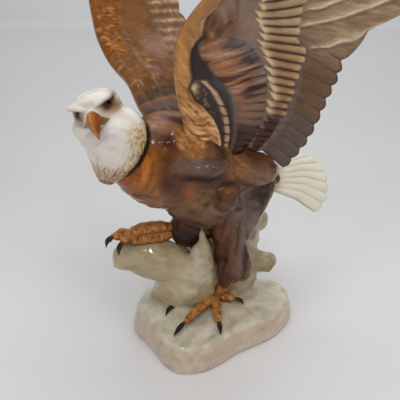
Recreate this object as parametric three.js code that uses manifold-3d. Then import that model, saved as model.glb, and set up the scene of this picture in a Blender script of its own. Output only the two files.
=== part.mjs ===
// Porcelain eagle alighting on a rock, cast in one piece with its plinth.
// Millimetres, +Z up, origin at the middle of the plinth's underside.
// The front of the piece faces -Y and the bird looks towards -X and -Y.
import * as THREE from 'three';
import { mergeVertices } from 'three/addons/utils/BufferGeometryUtils.js';
import Module from 'manifold-3d';

// Plinth
const plinthLength = 177;
const plinthWidth = 123;
const plinthHeight = 29;
const plinthFoot = 7;
const plinthBatter = 0.05;
const plinthRoughness = 2.2;

// Figure, from the top of the plinth to the highest wing tip
const figureHeight = 371;

// Relief of the carving
const featherRelief = 1.1;
const tipNotch = 0.09;

// Thickness of the wing blade, half of it each side
const bladeHalf = 1.9;
const boneHalf = 7.5;
const tailHalf = 2.1;

// Number of feathers along each fan
const nearFeathers = 14;
const farFeathers = 11;
const tailFeathers = 7;

// One share is a hundredth of the figure's height
const share = figureHeight / 100;

const wasm = await Module();
wasm.setup();

function at([x, y, z]) {
  return new THREE.Vector3(x * share, y * share, plinthHeight + z * share);
}

function curve(points) {
  return new THREE.CatmullRomCurve3(points.map(at));
}

function smooth(low, high, value) {
  return THREE.MathUtils.smoothstep(value, low, high);
}

// Turns a geometry into a closed solid for joining
function solidOf(geometry) {
  geometry.deleteAttribute('normal');
  geometry.deleteAttribute('uv');
  const merged = mergeVertices(geometry, 1e-4);
  const mesh = new wasm.Mesh({
    numProp: 3,
    vertProperties: Float32Array.from(merged.attributes.position.array),
    triVerts: Uint32Array.from(merged.index.array),
  });
  return new wasm.Manifold(mesh);
}

// Moves each vertex of a geometry to where place(vertex) says
function deform(geometry, place) {
  const position = geometry.attributes.position;
  const vertex = new THREE.Vector3();
  for (let index = 0; index < position.count; index += 1) {
    vertex.fromBufferAttribute(position, index);
    const moved = place(vertex);
    position.setXYZ(index, moved.x, moved.y, moved.z);
  }
  return solidOf(geometry);
}

// A rounded form along a spine. Each station is [x, y, z, side radius, up radius] in shares.
// carve(along, turn) is a factor on the radius.
function limb(stations, { up = [0, 0, 1], sides = 10, rings = 8, blunt = 0.4, carve = () => 1 } = {}) {
  const spine = curve(stations);
  const girth = new THREE.CatmullRomCurve3(stations.map((s) => new THREE.Vector3(s[3], s[4], 0)));
  const upward = new THREE.Vector3(...up);
  return deform(new THREE.SphereGeometry(1, sides, rings), (vertex) => {
    const along = Math.acos(THREE.MathUtils.clamp(vertex.y, -1, 1)) / Math.PI;
    const turn = Math.atan2(vertex.z, vertex.x);
    const isPole = along < 1e-6 || along > 1 - 1e-6;
    const ring = isPole ? 0 : Math.sin(Math.PI * along) ** blunt;
    const centre = spine.getPoint(along);
    const tangent = spine.getTangent(along);
    const side = new THREE.Vector3().crossVectors(tangent, upward).normalize();
    const rise = new THREE.Vector3().crossVectors(side, tangent).normalize();
    const radius = girth.getPoint(along).multiplyScalar(share * ring * carve(along, turn));
    return centre
      .addScaledVector(side, radius.x * Math.cos(turn))
      .addScaledVector(rise, -radius.y * Math.sin(turn));
  });
}

// A thin blade between a leading edge and a line of tips, one grid cell thick.
// levels run from 0 at the leading edge to 4 at the tips, and 3 lies on the line in the middle.
// profile(level, along) gives the half thickness in millimetres and the bow as a share of the chord.
function blade({ lead, middle, tips, rows, levels, border, notch, profile }) {
  const leadCurve = curve(lead);
  const middleCurve = curve(middle);
  const tipCurve = curve(tips);
  const columnCount = levels.length - 1;
  return deform(new THREE.BoxGeometry(1, 1, 1, columnCount, rows, 1), (vertex) => {
    const level = levels[Math.round((vertex.x + 0.5) * columnCount)];
    const along = THREE.MathUtils.clamp(vertex.y + 0.5, 0, 1);
    const face = Math.sign(vertex.z);
    const start = leadCurve.getPoint(along);
    const bend = middleCurve.getPoint(along);
    const end = tipCurve.getPoint(along);
    const chord = end.clone().sub(start);
    const span = leadCurve.getTangent(along).add(tipCurve.getTangent(along)).normalize();
    const normal = new THREE.Vector3().crossVectors(chord, span).normalize();
    const outer = Math.max(level - 3, 0);
    const point = level < 3
      ? start.lerp(bend, acrossOf(level, border(along)))
      : bend.lerp(end, outer * (1 - notch(along) * outer));
    const { half, bow } = profile(level, along);
    return point.addScaledVector(normal, bow * chord.length() + face * half);
  });
}

// Place of a level between the leading edge and the middle line, with its borders at 1 and 2
function acrossOf(level, [first, second]) {
  if (level < 1) return level * first;
  if (level < 2) return first + (level - 1) * (second - first);
  return second + (level - 2) * (1 - second);
}

// Rib of one feather across its width, 0 in the groove between feathers and 1 on its back
function rib(along, count) {
  return Math.abs(Math.sin(Math.PI * along * count));
}

// Half thickness of a wing: a rounded bone ridge, then rows that step down to the flight feathers.
// Level 1 ends the ridge, 2 the small coverts, 3 the great coverts and 4 the flight feathers.
function wingHalf(level, along, count, ridge) {
  const bone = boneHalf * ridge * Math.sin(Math.PI * Math.min(level, 1) ** 0.75);
  const small = 2.4 * Math.sin(Math.PI * THREE.MathUtils.clamp(level - 1, 0, 1));
  const great = 1.8 * smooth(1.95, 2.1, level) * (1 - smooth(3, 3.12, level));
  const ribbed = featherRelief * rib(along, count) * smooth(1, 2, level);
  return bladeHalf + Math.max(bone, 0) + small * (1 - 0.6 * along) + great + ribbed;
}

// Cuts between the feather tips, deeper towards the wing tip
function notchOf(along, count, tipFrom) {
  return (1 - rib(along, count)) * tipNotch * (1 + 2 * smooth(tipFrom, 1, along));
}

const wingLevels = [0, 0.2, 0.6, 1, 1.5, 2, 2.1, 2.98, 3.12, 3.6, 4];

// Near wing, hollow face towards the front
function nearWing() {
  return blade({
    lead: [
      [-7.7, -1.1, 45.8], [-8, -2.2, 53.4], [-9.3, -3.5, 60], [-9.8, -4.9, 65.4], [-9.4, -5.9, 70.4],
      [-7.4, -6.8, 75], [-3.9, -7.3, 79.3], [0.4, -7.6, 83.6], [5.7, -7.6, 87.4], [11.5, -7.6, 90.4],
    ],
    middle: [
      [11.1, 3.8, 46.3], [14.2, 3.2, 49.7], [16.3, 2.4, 54.1], [17.6, 1.6, 58.7], [18, 0.8, 63.5],
      [18.2, 0, 68.5], [17.7, -0.8, 73.5], [17.5, -1.6, 78.8], [19.9, -2.4, 84.7], [23.4, -3.2, 91.4],
    ],
    tips: [
      [17.2, 5.9, 41], [20.3, 5.7, 45.1], [22.7, 5.1, 49.7], [24.3, 4.3, 54.9], [25.5, 3.2, 59.8],
      [26.6, 1.9, 64.3], [27.4, 0.3, 68.7], [41.5, -1.6, 81.3], [49.6, -3.2, 89.8], [41, -4.9, 99.4],
    ],
    rows: nearFeathers * 3,
    levels: wingLevels,
    border: (along) => [0.13, 0.68 - 0.18 * along],
    notch: (along) => notchOf(along, nearFeathers, 0.6),
    profile: (level, along) => ({
      half: wingHalf(level, along, nearFeathers, 1 - 0.5 * along),
      bow: -0.03 * Math.sin((Math.PI * level) / 4),
    }),
  });
}

// Far wing, rounded back towards the front
function farWing() {
  return blade({
    lead: [
      [-16.7, 6.5, 53.6], [-19.3, 7.6, 56.8], [-22.3, 10.3, 62.2], [-26.9, 14.1, 66], [-30.4, 18.4, 71.4],
      [-32.3, 22.7, 76.7], [-33.3, 25.9, 82.1], [-32.5, 28.1, 87.3], [-29.6, 30, 91.6],
    ],
    middle: [
      [-4, 12, 47.4], [-7, 16, 53], [-10.6, 20.6, 60], [-14.4, 25.4, 66.2], [-18, 29.6, 72.8],
      [-20.6, 32.6, 79], [-23, 35, 85.4], [-24.4, 36.6, 91], [-24.4, 37.4, 95.6],
    ],
    tips: [
      [3.6, 19.5, 43.6], [-0.1, 23, 51], [-2.9, 27.6, 59.7], [-6.7, 33.8, 68.7], [-8.8, 37.8, 75],
      [-12, 41.1, 82], [-16.1, 43.2, 90], [-19.6, 43.6, 96.6], [-23.4, 41.6, 99.6],
    ],
    rows: farFeathers * 3,
    levels: wingLevels,
    border: (along) => [0.16, 0.62 - 0.1 * along],
    notch: (along) => notchOf(along, farFeathers, 0.6),
    profile: (level, along) => ({
      half: wingHalf(level, along, farFeathers, 1 - 0.5 * along),
      bow: 0.05 * Math.sin((Math.PI * level) / 4),
    }),
  });
}

// Tail, a short open fan of ribbed feathers
function tail() {
  return blade({
    lead: [[15.6, 16.6, 36.9], [15.8, 15.6, 35.9], [15.9, 14.4, 34.6], [15.6, 13.2, 33.4], [15.2, 12, 32.2]],
    middle: [[22.6, 21.4, 38.4], [24.4, 19.6, 37], [25.6, 17.4, 34.6], [25.2, 15, 31.8], [23.4, 12.6, 28.8]],
    tips: [[26, 24.3, 38.9], [30.5, 22.2, 36.8], [33.3, 19.5, 32.6], [33, 16.2, 28], [29.7, 13, 24.1]],
    rows: tailFeathers * 3,
    levels: [0, 1.5, 3, 3.7, 4],
    border: () => [0.3, 0.6],
    notch: (along) => (1 - rib(along, tailFeathers)) * tipNotch,
    profile: (level, along) => ({
      half: tailHalf + 0.5 * (4 - level) + featherRelief * rib(along, tailFeathers) * smooth(0, 1.5, level),
      bow: 0,
    }),
  });
}

// Soft locks of the plumage, rows that swell and fade along the body
function plumage(rows, around, depth) {
  return (along, turn) => {
    const row = Math.floor(along * rows);
    const shift = row % 2 === 0 ? 0 : Math.PI / around;
    return 1 + depth * Math.cos(around * (turn + shift)) * Math.sin(Math.PI * along * rows) ** 2;
  };
}

function body() {
  const torso = limb([
    [-25.4, -5, 47.6, 7, 8.4], [-20.6, -2.8, 46.6, 9, 11.4], [-14.4, 1.4, 44.6, 10, 13],
    [-8.6, 4.8, 42.8, 10.4, 12.8], [-2, 7.4, 40.2, 10, 11.2], [5, 10, 37.8, 8.6, 8.8],
    [12, 12.6, 36, 6, 6], [18.4, 14.6, 34.6, 4, 3.2],
  ], { sides: 14, rings: 11, blunt: 0.32, carve: plumage(7, 6, 0.02) });
  const flank = limb([
    [1.7, 0.5, 44.6, 2.8, 2.4], [6, 1.8, 42.8, 4.4, 4.2], [11, 4.6, 41, 4.8, 4.6], [16.4, 8.4, 39.6, 3.4, 3.4],
  ], { sides: 9, rings: 7, blunt: 0.5 });
  const shoulderFold = limb([
    [-9.8, -2, 44.8, 2.4, 1.8], [-6, -3.2, 44.4, 3.2, 2.6], [-1.5, -3.2, 44.4, 3.3, 2.6], [3, -1.6, 44.8, 2.6, 2.2],
  ], { sides: 8, rings: 7, blunt: 0.5 });
  const haunch = limb([
    [-3.6, 1.6, 37, 5, 4.8], [0.6, 1.2, 35, 6, 5.6], [4.6, 2, 32.4, 5.4, 5.4],
  ], { sides: 8, rings: 6, blunt: 0.5 });
  const shoulderLobe = limb([
    [-3.1, -1.8, 44.4, 2.4, 2.4], [-2.7, -3.1, 50, 4.4, 3], [-3.4, -3.8, 54.9, 4.2, 3],
    [-5.4, -4.5, 59.4, 2.8, 2.4], [-7.6, -5.2, 64, 1.8, 1.8], [-8.8, -5.9, 67.6, 1.2, 1.2],
  ], { up: [0.2, -1, 0], sides: 11, rings: 9, blunt: 0.55, carve: plumage(8, 5, 0.04) });
  return wasm.Manifold.union([torso, flank, shoulderFold, haunch, shoulderLobe]);
}

// Feathered leg that stands on the plinth and the raised leg beside it
function legs() {
  const standing = limb([
    [2.4, 6.4, 37, 7, 7.4], [3, 5.2, 31.4, 6.6, 7], [3.4, 4.4, 24.8, 5.3, 5.6],
    [4, 3.8, 17.6, 4.7, 4.9], [4.9, 3.4, 11.4, 4.8, 5], [5.3, 3.3, 7.4, 4.2, 4.5],
  ], { up: [0, -1, 0], sides: 12, rings: 8, blunt: 0.28, carve: plumage(5, 5, 0.05) });
  const frontCuff = limb([
    [3.4, 1.6, 22, 2.2, 2.2], [2.8, 0.4, 15, 2.4, 2.3], [2.6, 0, 9.6, 2.2, 2.1], [2.4, 0, 7, 1.6, 1.5],
  ], { up: [0, -1, 0], sides: 6, rings: 5, blunt: 0.35 });
  const sideCuff = limb([
    [6.6, 3, 22, 2, 2.2], [7.4, 2.4, 15.6, 2.3, 2.4], [7.8, 2.2, 10.6, 2.3, 2.3], [7.6, 2.2, 8, 1.6, 1.5],
  ], { up: [0, -1, 0], sides: 6, rings: 5, blunt: 0.35 });
  const raised = limb([
    [0.6, 8, 31, 5.4, 5.6], [-3.6, 7, 26, 5, 5.8], [-8, 5.8, 23.8, 4.6, 5.8], [-12.6, 4.7, 22.6, 4, 4.6],
  ], { up: [0, 0, 1], sides: 10, rings: 7, blunt: 0.3, carve: plumage(4, 4, 0.04) });
  return wasm.Manifold.union([standing, frontCuff, sideCuff, raised]);
}

// One toe from the foot's middle to the root of the claw, then the claw
function toe(points, claw) {
  const digit = limb(points, { sides: 5, rings: 4, blunt: 0.35 });
  const nail = limb(claw, { sides: 5, rings: 4, blunt: 0.5 });
  return digit.add(nail);
}

function feet() {
  const shank = limb([
    [4.4, 3.2, 9, 2.3, 2.3], [2.6, 2.6, 6, 2, 2.1], [0.2, 1.6, 3.4, 2.2, 2],
  ], { up: [0, -1, 0], sides: 8, rings: 5 });
  const standing = [
    toe(
      [[0.4, 1.4, 3, 1.5, 1.5], [-2.4, -1.2, 3, 1.4, 1.4], [-5.8, -5, 2.6, 1.3, 1.3], [-8.6, -8.6, 1.9, 1.1, 1.1]],
      [[-8.2, -8, 2.3, 0.9, 0.9], [-10, -10.4, 1.8, 0.9, 0.9], [-11.6, -12, 0.1, 0.5, 0.5]],
    ),
    toe(
      [[0, 1.6, 3, 1.5, 1.5], [-4.6, 0.6, 3.2, 1.4, 1.4], [-9, -0.8, 2.8, 1.2, 1.2], [-11.4, -1.6, 2.2, 1.1, 1.1]],
      [[-10.8, -1.4, 2.6, 0.9, 0.9], [-13, -2.6, 2, 0.9, 0.9], [-14.2, -4.4, 0.1, 0.5, 0.5]],
    ),
    toe(
      [[0.2, 1.2, 3, 1.5, 1.5], [0.4, -3, 2.9, 1.4, 1.4], [0.6, -6.4, 2.4, 1.2, 1.2], [0.8, -8.2, 2, 1.1, 1.1]],
      [[0.7, -7.6, 2.3, 0.9, 0.9], [1, -9.8, 1.8, 0.9, 0.9], [1.2, -11.4, 0.1, 0.5, 0.5]],
    ),
    toe(
      [[0.6, 1.8, 3, 1.5, 1.5], [3.4, 1.2, 3, 1.4, 1.4], [6, 1, 2.6, 1.2, 1.2]],
      [[5.4, 1, 2.8, 0.9, 0.9], [7.4, 0.8, 2.2, 0.8, 0.8], [8.6, 0.6, 0.4, 0.5, 0.5]],
    ),
  ];
  const raisedShank = limb([
    [-11.2, 4.8, 24, 1.9, 2], [-15.4, 3, 25, 1.9, 1.9], [-20, 1, 25.2, 2, 2], [-23.4, -0.4, 24.4, 2.2, 2],
  ], { sides: 8, rings: 7 });
  const raised = [
    toe(
      [[-22.6, 0, 24.6, 1.6, 1.6], [-25, -1.2, 25, 1.4, 1.4], [-26.8, -2, 24.8, 1.2, 1.2]],
      [[-26.4, -1.8, 25.2, 0.9, 0.9], [-28, -2.8, 24.2, 0.9, 0.9], [-28.6, -3.6, 22, 0.5, 0.5]],
    ),
    toe(
      [[-21.8, 0, 24.4, 1.6, 1.6], [-23.2, -2, 24.4, 1.4, 1.4], [-24.2, -3.6, 24, 1.3, 1.3]],
      [[-24, -3.2, 24.4, 0.9, 0.9], [-24.8, -4.8, 23.2, 0.9, 0.9], [-25, -5.6, 20.8, 0.5, 0.5]],
    ),
    toe(
      [[-22.6, 0.4, 24.2, 1.5, 1.5], [-25, 1.8, 24, 1.3, 1.3], [-27, 2.6, 23, 1.1, 1.1]],
      [[-26.6, 2.4, 23.4, 0.9, 0.9], [-28.2, 2.8, 22, 0.8, 0.8], [-28.8, 2.6, 20, 0.5, 0.5]],
    ),
    toe(
      [[-20.6, 1.4, 24.6, 1.5, 1.5], [-19.6, 3, 23.8, 1.3, 1.3], [-19.2, 4.2, 22.8, 1.1, 1.1]],
      [[-19.2, 3.8, 23, 0.9, 0.9], [-19, 5, 21.8, 0.8, 0.8], [-19, 5.4, 20, 0.5, 0.5]],
    ),
  ];
  return wasm.Manifold.union([shank, ...standing, raisedShank, ...raised]);
}

// Head frame: across is the line through the eyes, ahead is where the bill points
const headCentre = at([-25.8, -5.8, 57.7]);
const headAcross = new THREE.Vector3(0.949, 0.032, 0.314).normalize();
const headAhead = new THREE.Vector3(0.05, -0.998, -0.05).normalize();
const headUp = new THREE.Vector3().crossVectors(headAhead, headAcross).normalize();

// A point of the head in shares across, ahead and up from its centre
function headPoint([across, ahead, rise]) {
  return headCentre.clone()
    .addScaledVector(headAcross, across * share)
    .addScaledVector(headAhead, ahead * share)
    .addScaledVector(headUp, rise * share);
}

// Stations given in the head's frame, turned into stations in the figure's frame
function headStations(stations) {
  return stations.map(([across, ahead, rise, sideRadius, upRadius]) => {
    const point = headPoint([across, ahead, rise]);
    return [point.x / share, point.y / share, (point.z - plinthHeight) / share, sideRadius, upRadius];
  });
}

function head() {
  const up = headUp.toArray();
  const skull = limb(headStations([
    [0, -6.4, -0.8, 4.2, 4.6], [0, -3.4, 0, 5.4, 5.2], [0, 0, 0.1, 5.5, 5.2],
    [0, 2.6, 0, 4.8, 4.7], [0, 4.6, -0.3, 3.6, 3.8], [0, 6, -0.7, 2.2, 2.7],
  ]), { up, sides: 12, rings: 8, blunt: 0.4, carve: (along, turn) => 1 + 0.09 * Math.sin(2 * turn) ** 2 });
  const cheeks = limb(headStations([
    [-0.4, -2.6, -2, 5.4, 3.6], [-0.5, 0.4, -2, 6.3, 4.2], [-0.4, 2.8, -2.2, 5.8, 3.8], [-0.2, 4.4, -2.4, 4, 2.6],
  ]), { up, sides: 10, rings: 6, blunt: 0.45 });
  const forehead = limb(headStations([
    [-5, 1.2, 3.2, 1.4, 0.7], [-3.2, 2.2, 3.6, 2.2, 1.1], [0, 2.8, 3.7, 2.6, 1.3],
    [3.2, 2.2, 3.6, 2.2, 1.1], [5, 1.2, 3.2, 1.4, 0.7],
  ]), { up, sides: 8, rings: 7, blunt: 0.4 });
  const brows = [-1, 1].map((mirror) => limb(headStations([
    [5 * mirror, 0.6, 3.1, 0.5, 0.5], [5.05 * mirror, 2, 3.45, 0.7, 0.55], [4.2 * mirror, 3.5, 3.45, 0.9, 0.65],
    [2.6 * mirror, 4.8, 3.05, 0.9, 0.8], [0.9 * mirror, 5.5, 2.5, 0.8, 0.8],
  ]), { up, sides: 5, rings: 6 }));
  const eyes = [-1, 1].map((mirror) => limb(headStations([
    [2.9 * mirror, 2.7, 2.1, 0.8, 0.8], [3.3 * mirror, 3.3, 2.1, 0.8, 0.8], [3.7 * mirror, 3.9, 2, 0.7, 0.7],
  ]), { up, sides: 6, rings: 4 }));
  const upperBill = limb(headStations([
    [0, 4.2, 0.7, 2, 1.6], [0, 5.7, 0.7, 1.75, 1.5], [0, 6.9, 0.1, 1.5, 1.25], [0, 7.8, -1, 1.05, 0.95],
    [0, 8.25, -2.2, 0.62, 0.6], [0, 8.3, -3.3, 0.25, 0.3],
  ]), { up: headAhead.clone().add(headUp).toArray(), sides: 8, rings: 9, blunt: 0.3 });
  const lips = [-1, 1].map((mirror) => limb(headStations([
    [0.8 * mirror, 6.2, -0.2, 0.9, 1.1], [1.7 * mirror, 5.6, -0.5, 0.7, 0.9],
    [2.6 * mirror, 4.8, -0.85, 0.4, 0.5], [3.6 * mirror, 4, -1.1, 0.15, 0.18],
  ]), { up, sides: 5, rings: 4 }));
  const lowerBill = limb(headStations([
    [0, 3.8, -1.8, 1.8, 0.9], [0, 5.2, -1.8, 1.2, 0.7], [0, 6.6, -1.9, 0.6, 0.4],
  ]), { up, sides: 7, rings: 5 });
  return wasm.Manifold.union([skull, cheeks, forehead, ...brows, ...eyes, upperBill, ...lips, lowerBill]);
}

// Neck with a long ruff whose locks end in a scalloped hem
function neck() {
  const locks = 11;
  return limb([
    [-25.9, -5, 58.6, 4.6, 4.8], [-25.2, -5.2, 56.8, 6.4, 6.4], [-24, -5.4, 54.6, 7.5, 7.2],
    [-23.2, -5.6, 52, 7.4, 7.8], [-23.4, -6, 49.4, 6.6, 8.1], [-24.1, -6.6, 46.8, 5.5, 7.6],
    [-24.9, -7.4, 44.4, 4.2, 6], [-25.5, -8.4, 42.4, 3, 4],
  ], {
    up: [0.1, -0.97, -0.2],
    sides: 22,
    rings: 9,
    blunt: 0.3,
    carve: (along, turn) => 1 + 0.035 * smooth(0.3, 0.9, along) * Math.cos(locks * turn),
  });
}

// Uneven surface of the modelled rock
function rockSurface(seed) {
  return (along, turn) => 1
    + 0.05 * Math.sin(3 * turn + 7 * along + seed)
    + 0.04 * Math.sin(5 * turn - 11 * along + 2 * seed);
}

function rock() {
  const trunk = limb([
    [2.6, 9.6, -2, 11, 9], [3.4, 9.8, 5, 10.4, 7.6], [4.6, 10.4, 12, 8.6, 6.6],
    [6.6, 11.6, 20, 6.8, 6.2], [8.6, 12.4, 28, 5.8, 5.8], [9, 12, 34, 4.4, 4.6],
  ], { up: [0, -1, 0], sides: 12, rings: 8, blunt: 0.22, carve: rockSurface(0.4) });
  const arm = limb([
    [3, 8, 7, 7, 6], [-5, 4.8, 10.6, 6.8, 6.6], [-11.4, 3, 13.6, 5.8, 5.6], [-17.4, 1.4, 16.2, 5, 6.2],
    [-22.6, 0, 17.7, 4.6, 5.7], [-27.6, -1.4, 17.9, 3.6, 4.4],
  ], { sides: 11, rings: 9, blunt: 0.22, carve: rockSurface(1.7) });
  const web = limb([
    [-16.5, 2.2, 14.6, 4.4, 4.4], [-11.6, 2.2, 11, 8.6, 5.4], [-8.8, 2.8, 6, 10.2, 6.2], [-8.2, 4, 0.5, 10.8, 6.4],
  ], { up: [0, -1, 0], sides: 9, rings: 6, blunt: 0.35, carve: rockSurface(2.3) });
  const shelf = limb([
    [-8.4, 8, -3, 10.6, 6.8], [-8.4, 7.2, 2, 9.6, 6], [-8.4, 5.6, 8, 8.4, 6], [-7.4, 4.4, 14, 6.4, 5.8],
  ], { up: [0, -1, 0], sides: 10, rings: 6, blunt: 0.25, carve: rockSurface(2.9) });
  const fin = limb([
    [-4.8, 2, 4, 5, 3.4], [-4.6, 1.2, 12, 4.5, 3], [-3.7, 0.8, 18, 3.2, 2.2],
    [-3.4, 1, 22, 1.7, 1.4], [-4.1, 1.8, 26, 0.6, 0.6],
  ], { up: [0, -1, 0], sides: 8, rings: 6, blunt: 0.5 });
  const stub = limb([
    [5.6, 9.6, 10, 3.4, 3.6], [10, 8.6, 10.8, 3.3, 3.5], [13.8, 6.6, 11.5, 3.1, 3.2], [16.4, 4.6, 12, 3.1, 3.1],
  ], { sides: 9, rings: 6, blunt: 0.18, carve: rockSurface(4.2) });
  const stubHollow = limb([
    [15.4, 5.6, 11.8, 1.8, 1.8], [16.8, 4.3, 12, 1.9, 1.9], [18.2, 3, 12.2, 1.9, 1.9],
  ], { sides: 9, rings: 4, blunt: 0.3 });
  const knob = limb([
    [9, 12, 21, 3, 3.4], [12.4, 12.8, 21.8, 3, 3.2], [15.6, 13.5, 22.4, 2.4, 2.6],
  ], { sides: 7, rings: 5, blunt: 0.45, carve: rockSurface(5.1) });
  return wasm.Manifold.union([trunk, arm, web, shelf, fin, knob, stub.subtract(stubHollow)]);
}

// Outline of the plinth in shares of half its length and half its width
const plinthOutline = [
  [1, 0.42], [0.9, 0.84], [0.56, 1], [0, 1], [-0.56, 0.94], [-0.93, 0.6], [-1, 0], [-0.78, -0.42],
  [-0.46, -0.97], [-0.18, -0.98], [0.02, -0.84], [0.24, -0.6], [0.68, -0.24], [0.9, 0.1],
];

// Plinth: flat underside, battered sides, a rounded rim and a worked top
function plinth() {
  const rim = plinthHeight - 3;
  const levels = [
    [0, 0], [1, 0], [1, plinthFoot], [1 - plinthBatter / 2, rim * 0.6],
    [1 - plinthBatter, rim], [0.9, plinthHeight], [0.68, plinthHeight + 1.5],
    [0.36, plinthHeight + 3], [0, plinthHeight + 4],
  ];
  const turns = 30;
  const corners = plinthOutline.map(([x, y]) => new THREE.Vector3((x * plinthLength) / 2, (y * plinthWidth) / 2, 0));
  const outline = new THREE.CatmullRomCurve3(corners, true);
  return deform(new THREE.SphereGeometry(1, turns, levels.length - 1), (vertex) => {
    const polar = Math.acos(THREE.MathUtils.clamp(-vertex.y, -1, 1)) / Math.PI;
    const [spread, height] = levels[Math.round(polar * (levels.length - 1))];
    const turn = (Math.atan2(-vertex.z, vertex.x) / (2 * Math.PI) + 1) % 1;
    const bearing = 2 * Math.PI * turn;
    const edge = outline.getPoint(turn);
    const worked = spread > 0.1 && spread < 0.95 && height > plinthFoot ? plinthRoughness : 0;
    const bump = worked * Math.sin(5 * bearing + 9 * spread) * Math.cos(3 * bearing - 4 * spread);
    return new THREE.Vector3(edge.x * spread, edge.y * spread, height + bump);
  });
}

// Joins everything into the one cast piece
const whole = wasm.Manifold.union([
  plinth(), rock(), body(), legs(), feet(), neck(), head(), nearWing(), farWing(), tail(),
]);

function meshOf(solid, name, material) {
  const { vertProperties, triVerts } = solid.getMesh();
  const geometry = new THREE.BufferGeometry();
  geometry.setAttribute('position', new THREE.BufferAttribute(Float32Array.from(vertProperties), 3));
  geometry.setIndex(new THREE.BufferAttribute(Uint32Array.from(triVerts), 1));
  geometry.computeVertexNormals();
  const mesh = new THREE.Mesh(geometry, material);
  mesh.name = name;
  return mesh;
}

const porcelain = new THREE.MeshStandardMaterial({ color: 0x8a6040, roughness: 0.15, metalness: 0 });

const group = new THREE.Group();
group.name = 'porcelain_eagle_on_rock';
group.add(meshOf(whole, 'porcelain_eagle', porcelain));

export default group;
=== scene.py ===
import bpy
import numpy as np
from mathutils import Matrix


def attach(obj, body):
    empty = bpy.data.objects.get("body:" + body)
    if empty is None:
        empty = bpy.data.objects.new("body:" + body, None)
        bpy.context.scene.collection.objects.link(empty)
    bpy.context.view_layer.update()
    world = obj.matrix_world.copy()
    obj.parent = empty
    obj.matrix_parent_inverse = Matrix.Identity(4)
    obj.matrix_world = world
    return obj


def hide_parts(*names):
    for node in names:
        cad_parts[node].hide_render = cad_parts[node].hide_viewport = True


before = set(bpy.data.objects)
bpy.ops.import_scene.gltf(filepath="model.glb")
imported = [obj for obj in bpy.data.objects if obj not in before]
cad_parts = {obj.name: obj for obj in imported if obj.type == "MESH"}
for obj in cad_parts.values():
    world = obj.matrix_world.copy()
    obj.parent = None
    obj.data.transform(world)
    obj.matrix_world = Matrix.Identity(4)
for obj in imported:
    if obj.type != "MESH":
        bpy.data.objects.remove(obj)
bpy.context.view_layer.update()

# sizes shared by every piece
figure = {
    "height": 0.371,        # top of the plinth to the highest wing tip, metres
    "plinthHeight": 0.029,
}
share = figure["height"] / 100
mm = 0.001


def at(points):
    # shares of the figure's height -> metres: point * share, then up by the plinth's height
    return np.asarray(points, float)[..., :3] * share + [0, 0, figure["plinthHeight"]]


# numpy helpers
def rise(low, high, value):
    # t = (value - low) / (high - low) kept in 0..1, answer = t * t * (3 - 2 t)
    t = np.clip((value - low) / (high - low), 0, 1)
    return t * t * (3 - 2 * t)


def unit(vectors):
    # vector / its length
    return vectors / np.maximum(np.linalg.norm(vectors, axis=-1, keepdims=True), 1e-12)


def mix(base, colour, mask):
    # base + (colour - base) * mask
    return base + (np.asarray(colour, float) - base) * np.asarray(mask)[..., None]


def bell(value, middle, width):
    # exp(-((value - middle) / width)^2)
    return np.exp(-(((value - middle) / width) ** 2))


def patchAt(points, centre, reach):
    # exp(-|(point - centre) / reach|^2), in shares of the figure's height
    return np.exp(-np.sum(((points - np.asarray(centre)) / np.asarray(reach)) ** 2, axis=-1))


def ripple(points, size, seed, waves=9):
    # mean of sines sin(2 pi direction . point / size + phase) over seeded directions, about -1..1
    rng = np.random.default_rng(seed)
    direction = unit(rng.normal(size=(waves, 3))) * rng.uniform(0.6, 1.5, (waves, 1))
    phase = rng.uniform(0, 2 * np.pi, waves)
    bent = points + 0.25 * size * np.sin(2 * np.pi * points[..., [1, 2, 0]] / (1.7 * size) + seed)
    return np.sin(2 * np.pi * (bent @ direction.T) / size + phase).sum(-1) / np.sqrt(waves) * 0.8


def brushed(points, along, size, stretch, seed):
    # ripple drawn out along a direction: the point's part along it is divided by the stretch first
    along = unit(np.asarray(along, float))
    return ripple(points - (points @ along)[..., None] * along * (1 - 1 / stretch), size, seed)


def curveAt(points, where, closed=False):
    # centripetal Catmull-Rom curve through the points, where = 0..1
    # counted by point; gives place and direction
    points = np.asarray(points, float)
    where = np.asarray(where, float)
    count = len(points)
    if closed:
        spot = (where % 1.0) * count
        index = np.floor(spot).astype(int) % count
        weight = spot - np.floor(spot)
        before, first, second, after = (points[(index + k) % count] for k in (-1, 0, 1, 2))
    else:
        padded = np.vstack([2 * points[0] - points[1], points, 2 * points[-1] - points[-2]])
        spot = np.clip(where, 0, 1) * (count - 1)
        index = np.minimum(np.floor(spot).astype(int), count - 2)
        weight = spot - index
        before, first, second, after = (padded[index + k] for k in (0, 1, 2, 3))
    gap = [np.sum((b - a) ** 2, -1, keepdims=True) ** 0.25
           for a, b in ((before, first), (first, second), (second, after))]
    gap[1] = np.where(gap[1] < 1e-9, 1.0, gap[1])
    gap[0] = np.where(gap[0] < 1e-9, gap[1], gap[0])
    gap[2] = np.where(gap[2] < 1e-9, gap[1], gap[2])
    leave = (((first - before) / gap[0] - (second - before) / (gap[0] + gap[1]) + (second - first) / gap[1])
             * gap[1])
    enter = (((second - first) / gap[1] - (after - first) / (gap[1] + gap[2]) + (after - second) / gap[2])
             * gap[1])
    w = weight[..., None]
    bend = -3 * first + 3 * second - 2 * leave - enter
    turn = 2 * first - 2 * second + leave + enter
    return first + w * leave + w**2 * bend + w**3 * turn, leave + 2 * w * bend + 3 * w**2 * turn


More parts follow.
